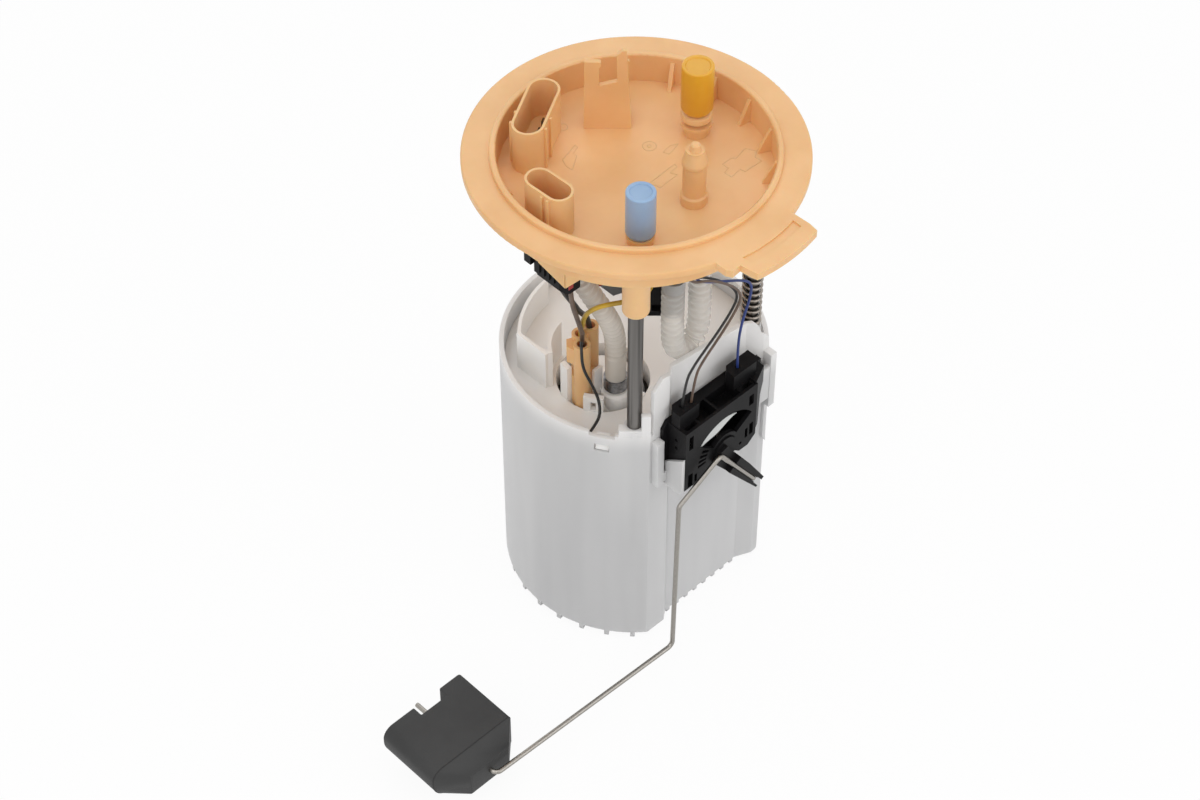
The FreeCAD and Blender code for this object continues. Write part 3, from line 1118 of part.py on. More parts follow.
# window around the hub, comb slots, small windows, hub opening
face_cut = s.face_thick + 0.1
sk = sketch_on(sender, "XZ", at=(0, front_y, 0))
loop(sk, ring_piece(s.hub_x, s.hub_z, s.window_in, s.window_r, 34, 142))
pocket(sender, sk, face_cut)
sk = sketch_on(sender, "XZ", at=(0, front_y, 0))
for n in range(int(val(s.comb_count))):
    turn = val(s.comb_first + s.comb_step * n)
    loop(sk, ring_piece(s.hub_x, s.hub_z, s.window_in + 3, s.window_r - 3.6, turn - 3, turn + 3))
pocket(sender, sk, face_cut)
sk = sketch_on(sender, "XZ", at=(0, front_y, 0))
for x0, z0, wide, high in ((2.2, -12, 2.6, 8.4), (2, -37, 3, 8.4), (6.2, -36, 1.6, 5), (40.2, -11.4, 3, 6.4),
                           (38.4, -31.4, 1.7, 6), (41.2, -31.4, 2.4, 7.4)):
    rect(sk, left + x0, top + z0, left + x0 + wide, top + z0 + high)
disc(sk, s.hub_x + 10.4, s.hub_z - 4.6, 0.9)
pocket(sender, sk, face_cut)
sk = sketch_on(sender, "XZ", at=(0, front_y, 0))
disc(sk, s.hub_x, s.hub_z, s.hub_r)
pocket(sender, sk, s.sender_front - s.ear_y)
sk = sketch_on(sender, "XZ", at=(0, front_y, 0))
disc(sk, s.hub_x, s.hub_z, s.shaft_r + s.shaft_gap)
pocket(sender, sk, s.sender_front - sender_back - 1)
# two small holes in the left end
sk = sketch_on(sender, "YZ", at=(left, 0, 0))
for down in (8, 13):
    disc(sk, front_y + 6, top - down, 0.9)
pocket(sender, sk, 1, back=True)

card = new_body("resistor_card")
sk = sketch_on(card, "XZ", at=(0, ear_y - 0.1, 0))
card_top = chamber_top - 0.3
card_side, card_low = 3, s.hub_z - 3
loop(sk, [(left + card_side, card_top), (left + card_side, card_low), (s.hub_x - 8, card_low),
          (s.hub_x - 8, s.hub_z + 3), (s.hub_x - 4, s.hub_z + 8), (s.hub_x + 4, s.hub_z + 8),
          (s.hub_x + 8, s.hub_z + 3), (right - card_side, s.hub_z + 3), (right - card_side, card_top)])
pad(card, sk, 1)

rotor = new_body("sender_rotor")
hub_free = s.hub_r - s.hub_gap
wheel_y = front_y + 4.6
sk = sketch_on(rotor, "XZ", at=(s.hub_x, base_y - 1.3, s.hub_z))
disc(sk, 0, 0, s.shaft_r)
pad(rotor, sk, 14)
sk = sketch_on(rotor, "XZ", at=(s.hub_x, wheel_y, s.hub_z))
disc(sk, 0, 0, hub_free)
pad(rotor, sk, 5.4)
# wiper carrier that sweeps behind the window
sk = sketch_on(rotor, "XZ", at=(s.hub_x, wheel_y + 1.2, s.hub_z))
loop(sk, ring_piece(0, 0, hub_free - 1.5, s.window_r - 3.4, 96, 168))
pad(rotor, sk, 1.6)
# forked lever: a web behind the wire and a slender prong on each side of it
lever_y = -s.lever_back
mid = -s.wire_side
grip = s.wire_r + s.wire_grip
tip = s.lever_long
upper_tip, lower_tip = mid + 3.4, mid - 2.7
sk = sketch_on(rotor, "XZ", at=(s.hub_x, lever_y, s.hub_z), lean=s.lever_turn)
loop(sk, [(-5, mid), (-2.2, mid - 4.6), (tip, lower_tip), (tip, upper_tip), (tip / 2, mid + 4.7),
          (1.1, mid + 5), (-3.4, mid + 5.4)])
pad(rotor, sk, s.lever_web)
sk = sketch_on(rotor, "XZ", at=(s.hub_x, lever_y - s.lever_web, s.hub_z), lean=s.lever_turn)
root_end = 9
loop(sk, [(root_end, mid + grip), (tip, mid + grip), (tip, upper_tip), (tip / 2, mid + 4.7),
          (root_end, mid + 4.9)])
loop(sk, [(root_end, mid - grip), (root_end, mid - 4.1), (tip, lower_tip), (tip, mid - grip)])
pad(rotor, sk, s.lever_thick - s.lever_web)
sk = sketch_on(rotor, "XZ", at=(s.hub_x, lever_y - s.lever_thick, s.hub_z), lean=s.lever_turn)
rect(sk, tip - 5, mid - s.lever_slot, tip + 1, mid + s.lever_slot)
pocket(rotor, sk, s.lever_thick)

wiper = new_body("wiper_contacts")
wiper_y = wheel_y + 1.25
sk = sketch_on(wiper, "XZ", at=(s.hub_x, wiper_y + 0.5, s.hub_z))
loop(sk, ring_piece(0, 0, hub_free - 1, s.window_r - 5, 99, 165))
pad(wiper, sk, 0.45)
sk = sketch_on(wiper, "XZ", at=(s.hub_x, wiper_y + 4.4, s.hub_z))
for turn in (104, 160):
    x, z = polar(2 * s.hub_r, turn)
    disc(sk, x, z, 0.9)
pad(wiper, sk, 4.2)

# float arm
bend_in_x, bend_in_z = s.hub_x - 6.8, s.hub_z + 3.5
bend_out_x, bend_out_z = s.hub_x - 32.7, s.hub_z - 10.8
arm_reach = tip + 1
arm_angle = math.radians(val(s.lever_turn))
arm_points = [(bend_in_x + arm_reach * math.cos(arm_angle), s.wire_y,
               bend_in_z + arm_reach * math.sin(arm_angle)),
              (bend_in_x, s.wire_y, bend_in_z), (bend_out_x, s.wire_y, bend_out_z),
              (bend_out_x - 1.6, s.wire_y, bend_out_z - 99), (s.float_pin_x, s.wire_y, s.float_pin_z),
              (s.float_pin_x, 4.6 - s.float_near + 30, s.float_pin_z)]
solid_node("arm_wire", tube_along(arm_points, s.wire_r, bend=val(s.arm_bend)))

float_body = new_body("float")
far, near, end = -s.float_far, -s.float_near, -s.float_end
float_left, float_right = s.float_x - s.float_wide / 2, s.float_x + s.float_wide / 2
soft, tight = s.float_soft, 1.5
low_soft = soft + 1
sk = sketch_on(float_body, "XZ", at=(0, far, 0))
loop(sk, [(float_left, s.float_top - soft), (float_left, s.float_low + low_soft),
          (float_left + low_soft, s.float_low, low_soft), (float_right - tight, s.float_low),
          (float_right, s.float_low + tight, tight), (float_right, s.float_top - tight),
          (float_right - tight, s.float_top, tight), (float_left + soft, s.float_top)])
pad(float_body, sk, s.float_near - s.float_far)
# tapered end that the wire enters
taper = float_body.newObject("PartDesign::AdditiveLoft", "float_end")
near_sk = sketch_on(float_body, "XZ", at=(0, near, 0))
rect(near_sk, float_left + 2.5, s.float_low + 1, float_right - 0.8, s.float_top - 0.6)
end_sk = sketch_on(float_body, "XZ", at=(0, end, 0))
end_half = s.float_end_wide / 2
rect(end_sk, s.float_pin_x - end_half, s.float_end_low, s.float_pin_x + end_half, s.float_end_top)
taper.Profile = near_sk
taper.Sections = [end_sk]
taper.Ruled = True
float_body.Tip = taper
notch_half = s.notch_wide / 2
sk = sketch_on(float_body, "XY", at=(0, 0, s.float_low - 1))
rect(sk, s.float_pin_x - notch_half, far - s.notch_deep, s.float_pin_x + notch_half, far + 1)
pocket(float_body, sk, s.float_top - s.float_low + 2, back=True)
sk = sketch_on(float_body, "XZ", at=(0, end - 1, 0))
disc(sk, s.float_pin_x, s.float_pin_z, s.wire_r + 0.1)
pocket(float_body, sk, s.float_end - s.float_far + 2)
sk = sketch_on(float_body, "XZ", at=(0, end, 0))
for x in (s.float_pin_x - end_half + 2, s.float_pin_x + end_half - 2):
    disc(sk, x, s.float_end_low + 2.2, 0.7)
pocket(float_body, sk, 3)

# hoses and leads
cords = [("feed_hose", feed_route, s.hose_r, s.hose_r - s.hose_wall),
         ("drain_hose", drain_route, s.drain_r, s.drain_bore)]
cords += [(label, route, radius, None) for label, (radius, route) in lead_routes.items()]
for label, route, outer, inner in cords:
    node = solid_node(label, tube_along(route, outer, inner))
    path = bent_path(route)
    tightest = min(edge.Curve.Radius for edge in path.Edges if edge.Curve.TypeId == "Part::GeomCircle")
    section = math.pi * (val(outer) ** 2 - (val(inner) ** 2 if inner else 0))
    print("%s: length %.1f, tightest bend %.1f, volume %.4f of section by length"
          % (label, path.Length, tightest, node.Shape.Volume / (section * path.Length)))

# check and export
doc.recompute()
names = [body.Label for body in doc.Objects if body.TypeId == "PartDesign::Body"]
names += [node.Label for node in doc.Objects if node.TypeId == "Part::Feature"]
for obj in doc.Objects:
    if "Invalid" in obj.State or "Error" in obj.State:
        raise RuntimeError("%s: %s" % (obj.Label, obj.getStatusString()))
os.makedirs("parts", exist_ok=True)
for name in names:
    shape = doc.getObjectsByLabel(name)[0].Shape
    if shape.isNull() or not shape.isValid():
        raise RuntimeError("no valid shape: " + name)
    shape.exportStep("parts/%s.step" % name)
print(len(names), "nodes")
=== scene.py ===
import math

import bmesh
import bpy
from mathutils import Matrix, Vector


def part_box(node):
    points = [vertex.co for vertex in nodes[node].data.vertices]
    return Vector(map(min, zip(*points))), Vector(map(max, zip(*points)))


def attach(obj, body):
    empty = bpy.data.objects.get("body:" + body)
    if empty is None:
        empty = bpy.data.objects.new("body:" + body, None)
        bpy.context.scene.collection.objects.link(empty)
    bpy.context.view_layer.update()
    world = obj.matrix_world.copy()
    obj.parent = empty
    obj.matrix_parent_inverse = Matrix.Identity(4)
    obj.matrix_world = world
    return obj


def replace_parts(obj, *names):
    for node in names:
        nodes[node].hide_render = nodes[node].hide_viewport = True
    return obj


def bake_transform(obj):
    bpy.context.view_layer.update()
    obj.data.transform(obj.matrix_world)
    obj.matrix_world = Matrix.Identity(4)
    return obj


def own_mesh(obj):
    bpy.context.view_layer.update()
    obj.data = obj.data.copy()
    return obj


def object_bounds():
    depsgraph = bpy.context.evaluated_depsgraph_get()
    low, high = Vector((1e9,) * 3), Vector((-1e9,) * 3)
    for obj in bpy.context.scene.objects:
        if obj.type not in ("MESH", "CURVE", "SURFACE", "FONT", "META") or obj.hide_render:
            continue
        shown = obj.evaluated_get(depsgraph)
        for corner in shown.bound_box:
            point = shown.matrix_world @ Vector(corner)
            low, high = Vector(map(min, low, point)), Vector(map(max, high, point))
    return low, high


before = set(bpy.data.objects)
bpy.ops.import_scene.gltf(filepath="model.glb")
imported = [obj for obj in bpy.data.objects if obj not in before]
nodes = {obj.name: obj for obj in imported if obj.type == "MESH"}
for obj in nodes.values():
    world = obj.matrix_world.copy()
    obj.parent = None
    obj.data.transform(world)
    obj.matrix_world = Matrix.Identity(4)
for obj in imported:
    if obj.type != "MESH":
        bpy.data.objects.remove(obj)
cadBox = [list(corner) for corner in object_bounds()]
mm = 0.001
print("frame loaded:", len(nodes), "CAD nodes")


def newObject(name, data):  # an object at the origin, in the scene
    thing = bpy.data.objects.new(name, data)
    bpy.context.scene.collection.objects.link(thing)
    return thing


# camera at the photograph's viewing angle
shot = {"place": (-0.63113, -0.63129, 0.81730), "tilt": 42.486, "turn": -44.0, "lens": 85.0,
        "sensor": 36.0, "nearest": 0.01}
cameraData = bpy.data.cameras.new("shotCamera")
cameraData.lens = shot["lens"]
cameraData.sensor_width = shot["sensor"]
cameraData.clip_start = shot["nearest"]
camera = newObject("shotCamera", cameraData)
camera.location = shot["place"]
camera.rotation_euler = (math.radians(shot["tilt"]), 0, math.radians(shot["turn"]))
bpy.context.scene.camera = camera
bpy.context.scene.view_settings.view_transform = "Standard"
print("camera set")


def linear(r, g, b):  # screen colour 0..255 to scene colour
    def one(level):
        level = level / 255
        return level / 12.92 if level <= 0.04045 else ((level + 0.055) / 1.055) ** 2.4
    return (one(r), one(g), one(b), 1.0)


# small helpers for node trees
socketKinds = {float: "NodeSocketFloat", int: "NodeSocketInt", tuple: "NodeSocketColor",
               Vector: "NodeSocketVector"}


def addNode(tree, kind, inputs=None, **settings):
    node = tree.nodes.new(kind)
    for name, value in settings.items():
        setattr(node, name, value)
    for socket, value in (inputs or {}).items():
        node.inputs[socket].default_value = value
    return node


def maths(tree, operation, *terms):  # each term is a socket or a plain number
    node = addNode(tree, "ShaderNodeMath", operation=operation)
    for socket, term in zip(node.inputs, terms):
        if isinstance(term, (int, float)):
            socket.default_value = term
        else:
            tree.links.new(term, socket)
    return node.outputs["Value"]


def addSockets(tree, inputs):
    for label, default in inputs.items():
        socket = tree.interface.new_socket(label, in_out="INPUT",
                                           socket_type=socketKinds[type(default)])
        socket.default_value = default


# shader groups shared by the finishes, each with the same three outputs
def newGroup(name, inputs):
    tree = bpy.data.node_groups.new(name, "ShaderNodeTree")
    addSockets(tree, inputs)
    for label, kind in (("Color", "NodeSocketColor"), ("Roughness", "NodeSocketFloat"),
                        ("Height", "NodeSocketFloat")):
        tree.interface.new_socket(label, in_out="OUTPUT", socket_type=kind)
    return tree, addNode(tree, "NodeGroupInput"), addNode(tree, "NodeGroupOutput")


def mouldedSkinGroup():  # blotches of two close tones, and a fine grain
    tree, source, result = newGroup("mouldedSkin", {
        "Tone A": (0.8, 0.8, 0.8, 1), "Tone B": (0.7, 0.7, 0.7, 1), "Blotch Scale": 30.0,
        "Grain Scale": 900.0, "Rough Low": 0.35, "Rough High": 0.5})
    place = addNode(tree, "ShaderNodeTexCoord")
    blotch = addNode(tree, "ShaderNodeTexNoise", {"Detail": 4.0})
    grain = addNode(tree, "ShaderNodeTexNoise", {"Detail": 3.0})
    spread = addNode(tree, "ShaderNodeMapRange", {"From Min": 0.35, "From Max": 0.65})
    mix = addNode(tree, "ShaderNodeMix", data_type="RGBA")
    rough = addNode(tree, "ShaderNodeMapRange")
    link = tree.links.new
    link(place.outputs["Object"], blotch.inputs["Vector"])
    link(place.outputs["Object"], grain.inputs["Vector"])
    link(source.outputs["Blotch Scale"], blotch.inputs["Scale"])
    link(source.outputs["Grain Scale"], grain.inputs["Scale"])
    link(blotch.outputs["Fac"], spread.inputs["Value"])
    link(spread.outputs["Result"], mix.inputs["Factor"])
    link(source.outputs["Tone A"], mix.inputs["A"])
    link(source.outputs["Tone B"], mix.inputs["B"])
    link(grain.outputs["Fac"], rough.inputs["Value"])
    link(source.outputs["Rough Low"], rough.inputs["To Min"])
    link(source.outputs["Rough High"], rough.inputs["To Max"])
    link(mix.outputs["Result"], result.inputs["Color"])
    link(rough.outputs["Result"], result.inputs["Roughness"])
    link(grain.outputs["Fac"], result.inputs["Height"])
    return tree


def drawnMetalAndReflectionsGroup():  # long streaks along one axis: fine grain of drawn metal, and on the rods broad painted reflections
    tree, source, result = newGroup("drawnMetalAndReflections", {
        "Light": (0.5, 0.5, 0.5, 1), "Dark": (0.3, 0.3, 0.3, 1), "Across": 1500.0, "Along": 30.0})
    place = addNode(tree, "ShaderNodeTexCoord")
    size = addNode(tree, "ShaderNodeCombineXYZ")
    stretch = addNode(tree, "ShaderNodeVectorMath", operation="MULTIPLY")
    streak = addNode(tree, "ShaderNodeTexNoise", {"Scale": 1.0, "Detail": 4.0})
    contrast = addNode(tree, "ShaderNodeMapRange", {"From Min": 0.36, "From Max": 0.64})
    mix = addNode(tree, "ShaderNodeMix", data_type="RGBA")
    rough = addNode(tree, "ShaderNodeMapRange", {"To Min": 0.22, "To Max": 0.42})
    link = tree.links.new
    link(source.outputs["Across"], size.inputs["X"])
    link(source.outputs["Across"], size.inputs["Y"])
    link(source.outputs["Along"], size.inputs["Z"])
    link(place.outputs["Object"], stretch.inputs[0])
    link(size.outputs["Vector"], stretch.inputs[1])
    link(stretch.outputs["Vector"], streak.inputs["Vector"])
    link(streak.outputs["Fac"], contrast.inputs["Value"])
    link(contrast.outputs["Result"], mix.inputs["Factor"])
    link(source.outputs["Light"], mix.inputs["A"])
    link(source.outputs["Dark"], mix.inputs["B"])
    link(streak.outputs["Fac"], rough.inputs["Value"])
    link(mix.outputs["Result"], result.inputs["Color"])
    link(rough.outputs["Result"], result.inputs["Roughness"])
    link(streak.outputs["Fac"], result.inputs["Height"])
    return tree


def milkyWallPaintedLightGroup():  # painted light and shade: bright at the rim, greyer lower down, with soft upright painted shades
    rimLightBand = 0.014
    tree, source, result = newGroup("milkyWallPaintedLight", {
        "Rim Painted Light": (0.85, 0.85, 0.85, 1), "Wall Tone": (0.7, 0.7, 0.7, 1),
        "Foot Painted Shade": (0.6, 0.6, 0.6, 1), "Rim Z": -0.13, "Foot Z": -0.25, "Shade": 0.5,
        "Grain Scale": 900.0})
    link = tree.links.new
    place = addNode(tree, "ShaderNodeTexCoord")
    split = addNode(tree, "ShaderNodeSeparateXYZ")
    step = addNode(tree, "ShaderNodeMapRange", interpolation_type="SMOOTHSTEP")
    fall = addNode(tree, "ShaderNodeMapRange", interpolation_type="SMOOTHSTEP")
    link(place.outputs["Object"], split.inputs["Vector"])
    link(split.outputs["Z"], step.inputs["Value"])
    link(maths(tree, "SUBTRACT", source.outputs["Rim Z"], rimLightBand), step.inputs["From Min"])
    link(source.outputs["Rim Z"], step.inputs["From Max"])
    link(split.outputs["Z"], fall.inputs["Value"])
    link(source.outputs["Foot Z"], fall.inputs["From Min"])
    link(source.outputs["Rim Z"], fall.inputs["From Max"])
    # painted shades of the pieces behind the wall: noise drawn out along Z
    flat = addNode(tree, "ShaderNodeVectorMath", {1: (46.0, 46.0, 5.0)}, operation="MULTIPLY")
    shade = addNode(tree, "ShaderNodeTexNoise", {"Scale": 1.0, "Detail": 2.0})
    spread = addNode(tree, "ShaderNodeMapRange", {"From Min": 0.3, "From Max": 0.7})
    link(place.outputs["Object"], flat.inputs[0])
    link(flat.outputs["Vector"], shade.inputs["Vector"])
    link(shade.outputs["Fac"], spread.inputs["Value"])
    # three tones, from the foot up
    lower, shaded, whole = (addNode(tree, "ShaderNodeMix", data_type="RGBA") for _ in range(3))
    link(fall.outputs["Result"], lower.inputs["Factor"])
    link(source.outputs["Foot Painted Shade"], lower.inputs["A"])
    link(source.outputs["Wall Tone"], lower.inputs["B"])
    link(maths(tree, "MULTIPLY", spread.outputs["Result"], source.outputs["Shade"]),
         shaded.inputs["Factor"])
    link(lower.outputs["Result"], shaded.inputs["A"])
    link(source.outputs["Rim Painted Light"], shaded.inputs["B"])
    link(step.outputs["Result"], whole.inputs["Factor"])
    link(shaded.outputs["Result"], whole.inputs["A"])
    link(source.outputs["Rim Painted Light"], whole.inputs["B"])
    grain = addNode(tree, "ShaderNodeTexNoise", {"Detail": 3.0})
    rough = addNode(tree, "ShaderNodeMapRange", {"To Min": 0.3, "To Max": 0.42})
    link(place.outputs["Object"], grain.inputs["Vector"])
    link(source.outputs["Grain Scale"], grain.inputs["Scale"])
    link(grain.outputs["Fac"], rough.inputs["Value"])
    link(whole.outputs["Result"], result.inputs["Color"])
    link(rough.outputs["Result"], result.inputs["Roughness"])
    link(grain.outputs["Fac"], result.inputs["Height"])
    return tree


mouldedSkin = mouldedSkinGroup()
drawnMetalAndReflections = drawnMetalAndReflectionsGroup()
milkyWallPaintedLight = milkyWallPaintedLightGroup()


def finish(name, group, values, bumpDepth, **shaderValues):
    material = bpy.data.materials.new(name)
    material.use_nodes = True
    tree = material.node_tree
    shader = tree.nodes["Principled BSDF"]
    look = addNode(tree, "ShaderNodeGroup", values, node_tree=group)
    bump = addNode(tree, "ShaderNodeBump", {"Strength": 0.5, "Distance": bumpDepth})
    tree.links.new(look.outputs["Color"], shader.inputs["Base Color"])
    tree.links.new(look.outputs["Roughness"], shader.inputs["Roughness"])
    tree.links.new(look.outputs["Height"], bump.inputs["Height"])
    tree.links.new(bump.outputs["Normal"], shader.inputs["Normal"])
    for label, value in shaderValues.items():
        shader.inputs[label.replace("_", " ")].default_value = value
    return material


def moulded(name, toneA, toneB, rough=(0.35, 0.5), blotch=30.0, grain=900.0, bumpDepth=0.00004,
            **shaderValues):
    values = {"Tone A": linear(*toneA), "Tone B": linear(*toneB), "Blotch Scale": blotch,
              "Grain Scale": grain, "Rough Low": rough[0], "Rough High": rough[1]}
    return finish(name, mouldedSkin, values, bumpDepth, **shaderValues)


def metal(name, light, dark, across=1500.0, along=30.0, bumpDepth=0.00002):
    values = {"Light": linear(*light), "Dark": linear(*dark), "Across": across, "Along": along}
    return finish(name, drawnMetalAndReflections, values, bumpDepth, Metallic=1.0)


def insulation(name, tone, darker=0.82):
    darkTone = tuple(int(level * darker) for level in tone)
    return moulded(name, tone, darkTone, rough=(0.38, 0.52), blotch=120.0)


orangePlastic = moulded("orangePlastic", (236, 192, 138), (227, 179, 123), rough=(0.38, 0.5),
                        Subsurface_Weight=0.35, Subsurface_Radius=(1.0, 0.45, 0.18),
                        Subsurface_Scale=0.004)
# the pot's tones are painted light and shade: bright at the rim, greyer lower down, with painted
# shades of the pieces behind the wall
potLook = {"Rim Painted Light": linear(230, 229, 228), "Wall Tone": linear(197, 197, 197),
           "Foot Painted Shade": linear(192, 192, 193), "Rim Z": -0.112, "Foot Z": -0.2, "Shade": 0.3,
           "Grain Scale": 900.0}
whiteAcetal = finish("whiteAcetal", milkyWallPaintedLight, potLook, 0.00003, Subsurface_Weight=0.5,
                     Subsurface_Radius=(1.0, 1.0, 1.0), Subsurface_Scale=0.006)
creamAcetal = moulded("creamAcetal", (252, 250, 247), (247, 244, 240), rough=(0.32, 0.45),
                      blotch=20.0, Subsurface_Weight=0.3, Subsurface_Radius=(1.0, 0.95, 0.85),
                      Subsurface_Scale=0.003)
yellowPlastic = moulded("yellowPlastic", (228, 172, 48), (216, 156, 36), rough=(0.28, 0.4),
                        Subsurface_Weight=0.3, Subsurface_Radius=(1.0, 0.6, 0.1),
                        Subsurface_Scale=0.002)
bluePlastic = moulded("bluePlastic", (156, 184, 214), (138, 168, 202), rough=(0.25, 0.38),
                      Subsurface_Weight=0.35, Subsurface_Radius=(0.4, 0.6, 1.0),
                      Subsurface_Scale=0.002)
blackPlastic = moulded("blackPlastic", (27, 26, 27), (20, 20, 21), rough=(0.3, 0.46),
                       blotch=60.0, Specular_IOR_Level=0.07)
floatFoam = moulded("floatFoam", (46, 46, 46), (38, 38, 38), rough=(0.5, 0.68), blotch=45.0,
                    grain=2200.0, bumpDepth=0.00008)
rubberBlack = moulded("rubberBlack", (34, 34, 34), (28, 28, 28), rough=(0.6, 0.75))
cardGreen = moulded("cardGreen", (206, 208, 206), (190, 193, 191), rough=(0.3, 0.4))
milkyHose = moulded("milkyHose", (232, 225, 216), (220, 213, 203), rough=(0.08, 0.18),
                    Transmission_Weight=0.3, IOR=1.2, Specular_IOR_Level=1.0)
clearHose = moulded("clearHose", (246, 244, 240), (236, 233, 228), rough=(0.05, 0.12),
                    Transmission_Weight=0.6, IOR=1.17, Specular_IOR_Level=1.0)
# the rods' broad dark and light streaks along their length are painted reflections, not grain
rodSteelPaintedReflections = metal("rodSteelPaintedReflections", (124, 121, 118), (40, 39, 38), across=300.0, along=3.0)
wireSteel = metal("wireSteel", (164, 160, 154), (140, 136, 130), across=2600.0, along=2600.0)
springSteel = metal("springSteel", (168, 160, 152), (136, 129, 121), across=1500.0, along=1500.0)
clampSteel = metal("clampSteel", (150, 152, 156), (112, 114, 118), across=600.0, along=600.0)
canMetal = metal("canMetal", (190, 191, 194), (160, 161, 165))
contactTin = metal("contactTin", (214, 206, 190), (186, 176, 158), across=700.0, along=700.0)
# tinned blades, their tones darkened as painted shade of the deep sockets they sit in
bladeTinShaded = metal("bladeTinShaded", (132, 112, 90), (92, 78, 62), across=700.0, along=700.0)
brownInsulation = insulation("brownInsulation", (104, 84, 70))
yellowInsulation = insulation("yellowInsulation", (208, 168, 42))
blackInsulation = insulation("blackInsulation", (34, 33, 33))
redInsulation = insulation("redInsulation", (168, 52, 50))
blueInsulation = insulation("blueInsulation", (36, 58, 128))
print("finishes made")

# finishes of the CAD nodes that show
finishOf = {
    "flange": orangePlastic, "pump_plug": orangePlastic, "guide_rod_front": rodSteelPaintedReflections,
    "guide_rod_rear": rodSteelPaintedReflections, "ring_clip": clampSteel, "harness_plug": blackPlastic,
    "sender_lead_plug": blackPlastic, "valve_block": blackPlastic, "blue_cap": bluePlastic,
    "swirl_pot": whiteAcetal, "floor_valve": rubberBlack, "pump_holder": creamAcetal,
    "pump_can": canMetal, "pump_end_cover": creamAcetal, "rubber_isolator": rubberBlack,
    "pump_inlet_cover": blackPlastic, "suction_strainer": creamAcetal, "jet_pump": blackPlastic,
    "hose_clamp": clampSteel, "sender_housing": blackPlastic, "resistor_card": cardGreen,
    "sender_rotor": blackPlastic, "wiper_contacts": contactTin, "arm_wire": wireSteel,
}


def dress(piece, material):
    piece.data.materials.clear()
    piece.data.materials.append(material)


for name, material in finishOf.items():
    dress(nodes[name], material)
print("CAD nodes dressed")


# Geometry Nodes trees: named inputs first, one solid with its finish at the end
def newShapeTree(name, inputs):
    tree = bpy.data.node_groups.new(name, "GeometryNodeTree")
    tree.interface.new_socket("Geometry", in_out="INPUT", socket_type="NodeSocketGeometry")
    addSockets(tree, inputs)
    tree.interface.new_socket("Finish", in_out="INPUT", socket_type="NodeSocketMaterial")
    tree.interface.new_socket("Geometry", in_out="OUTPUT", socket_type="NodeSocketGeometry")
    return tree, addNode(tree, "NodeGroupInput"), addNode(tree, "NodeGroupOutput")


def closeTree(tree, source, geometry, result):
    whole = addNode(tree, "GeometryNodeRealizeInstances")
    painted = addNode(tree, "GeometryNodeSetMaterial")
    tree.links.new(geometry, whole.inputs["Geometry"])
    tree.links.new(whole.outputs["Geometry"], painted.inputs["Geometry"])
    tree.links.new(source.outputs["Finish"], painted.inputs["Material"])
    tree.links.new(painted.outputs["Geometry"], result.inputs["Geometry"])


def sweepRing(tree, curve, ring):  # the ring carried along the curve, with closed ends
    sweep = addNode(tree, "GeometryNodeCurveToMesh", {"Fill Caps": True})
    smooth = addNode(tree, "GeometryNodeSetShadeSmooth")
    tree.links.new(curve, sweep.inputs["Curve"])
    tree.links.new(ring, sweep.inputs["Profile Curve"])
    tree.links.new(sweep.outputs["Mesh"], smooth.inputs["Geometry"])
    return sweep, smooth.outputs["Geometry"]


def tubeTree():  # a tube of round section along a curve, with ripples between two smooth ends
    rippleEdge = 1.15  # above 1 the crests and dips of the ripple are flatter
    tree, source, result = newShapeTree("tubeAlongPath", {
        "Radius": 0.004, "Ripple": 0.0, "Pitch": 0.0028, "Smooth Start": 0.0, "Smooth End": 0.0,
        "Step": 0.001, "Sides": 16})
    link = tree.links.new
    resample = addNode(tree, "GeometryNodeResampleCurve", mode="LENGTH")
    link(source.outputs["Geometry"], resample.inputs["Curve"])
    link(source.outputs["Step"], resample.inputs["Length"])
    along = addNode(tree, "GeometryNodeSplineParameter").outputs["Length"]
    whole = addNode(tree, "GeometryNodeCurveLength")
    link(source.outputs["Geometry"], whole.inputs["Curve"])
    left = maths(tree, "SUBTRACT", whole.outputs["Length"], along)
    inside = maths(tree, "MULTIPLY",
                   maths(tree, "GREATER_THAN", along, source.outputs["Smooth Start"]),
                   maths(tree, "GREATER_THAN", left, source.outputs["Smooth End"]))
    turns = maths(tree, "DIVIDE", along, source.outputs["Pitch"])
    wave = maths(tree, "SINE", maths(tree, "MULTIPLY", turns, 2 * math.pi))
    tall = maths(tree, "MAXIMUM", maths(tree, "MULTIPLY", wave, rippleEdge), -1.0)
    squared = maths(tree, "MINIMUM", tall, 1.0)
    depth = maths(tree, "MULTIPLY", maths(tree, "SUBTRACT", squared, 1.0),
                  maths(tree, "MULTIPLY", source.outputs["Ripple"], inside))
    width = maths(tree, "ADD", source.outputs["Radius"], depth)
    ring = addNode(tree, "GeometryNodeCurvePrimitiveCircle", {"Radius": 1.0})
    link(source.outputs["Sides"], ring.inputs["Resolution"])
    sweep, solid = sweepRing(tree, resample.outputs["Curve"], ring.outputs["Curve"])
    link(width, sweep.inputs["Scale"])
    closeTree(tree, source, solid, result)
    return tree


def grow(name, carrier, tree, values, material):
    # the tree's result on the carrier, as a plain mesh object of its own
    change = carrier.modifiers.new("grow", "NODES")
    change.node_group = tree
    values = {**values, "Finish": material}
    for item in tree.interface.items_tree:
        if item.in_out == "INPUT" and item.name in values:
            change[item.identifier] = values[item.name]
    bpy.context.view_layer.update()
    solid = carrier.evaluated_get(bpy.context.evaluated_depsgraph_get())
    mesh = bpy.data.meshes.new_from_object(solid)
    carrier.modifiers.remove(change)
    bpy.data.objects.remove(carrier)
    piece = newObject(name, mesh)
    dress(piece, material)
    return piece


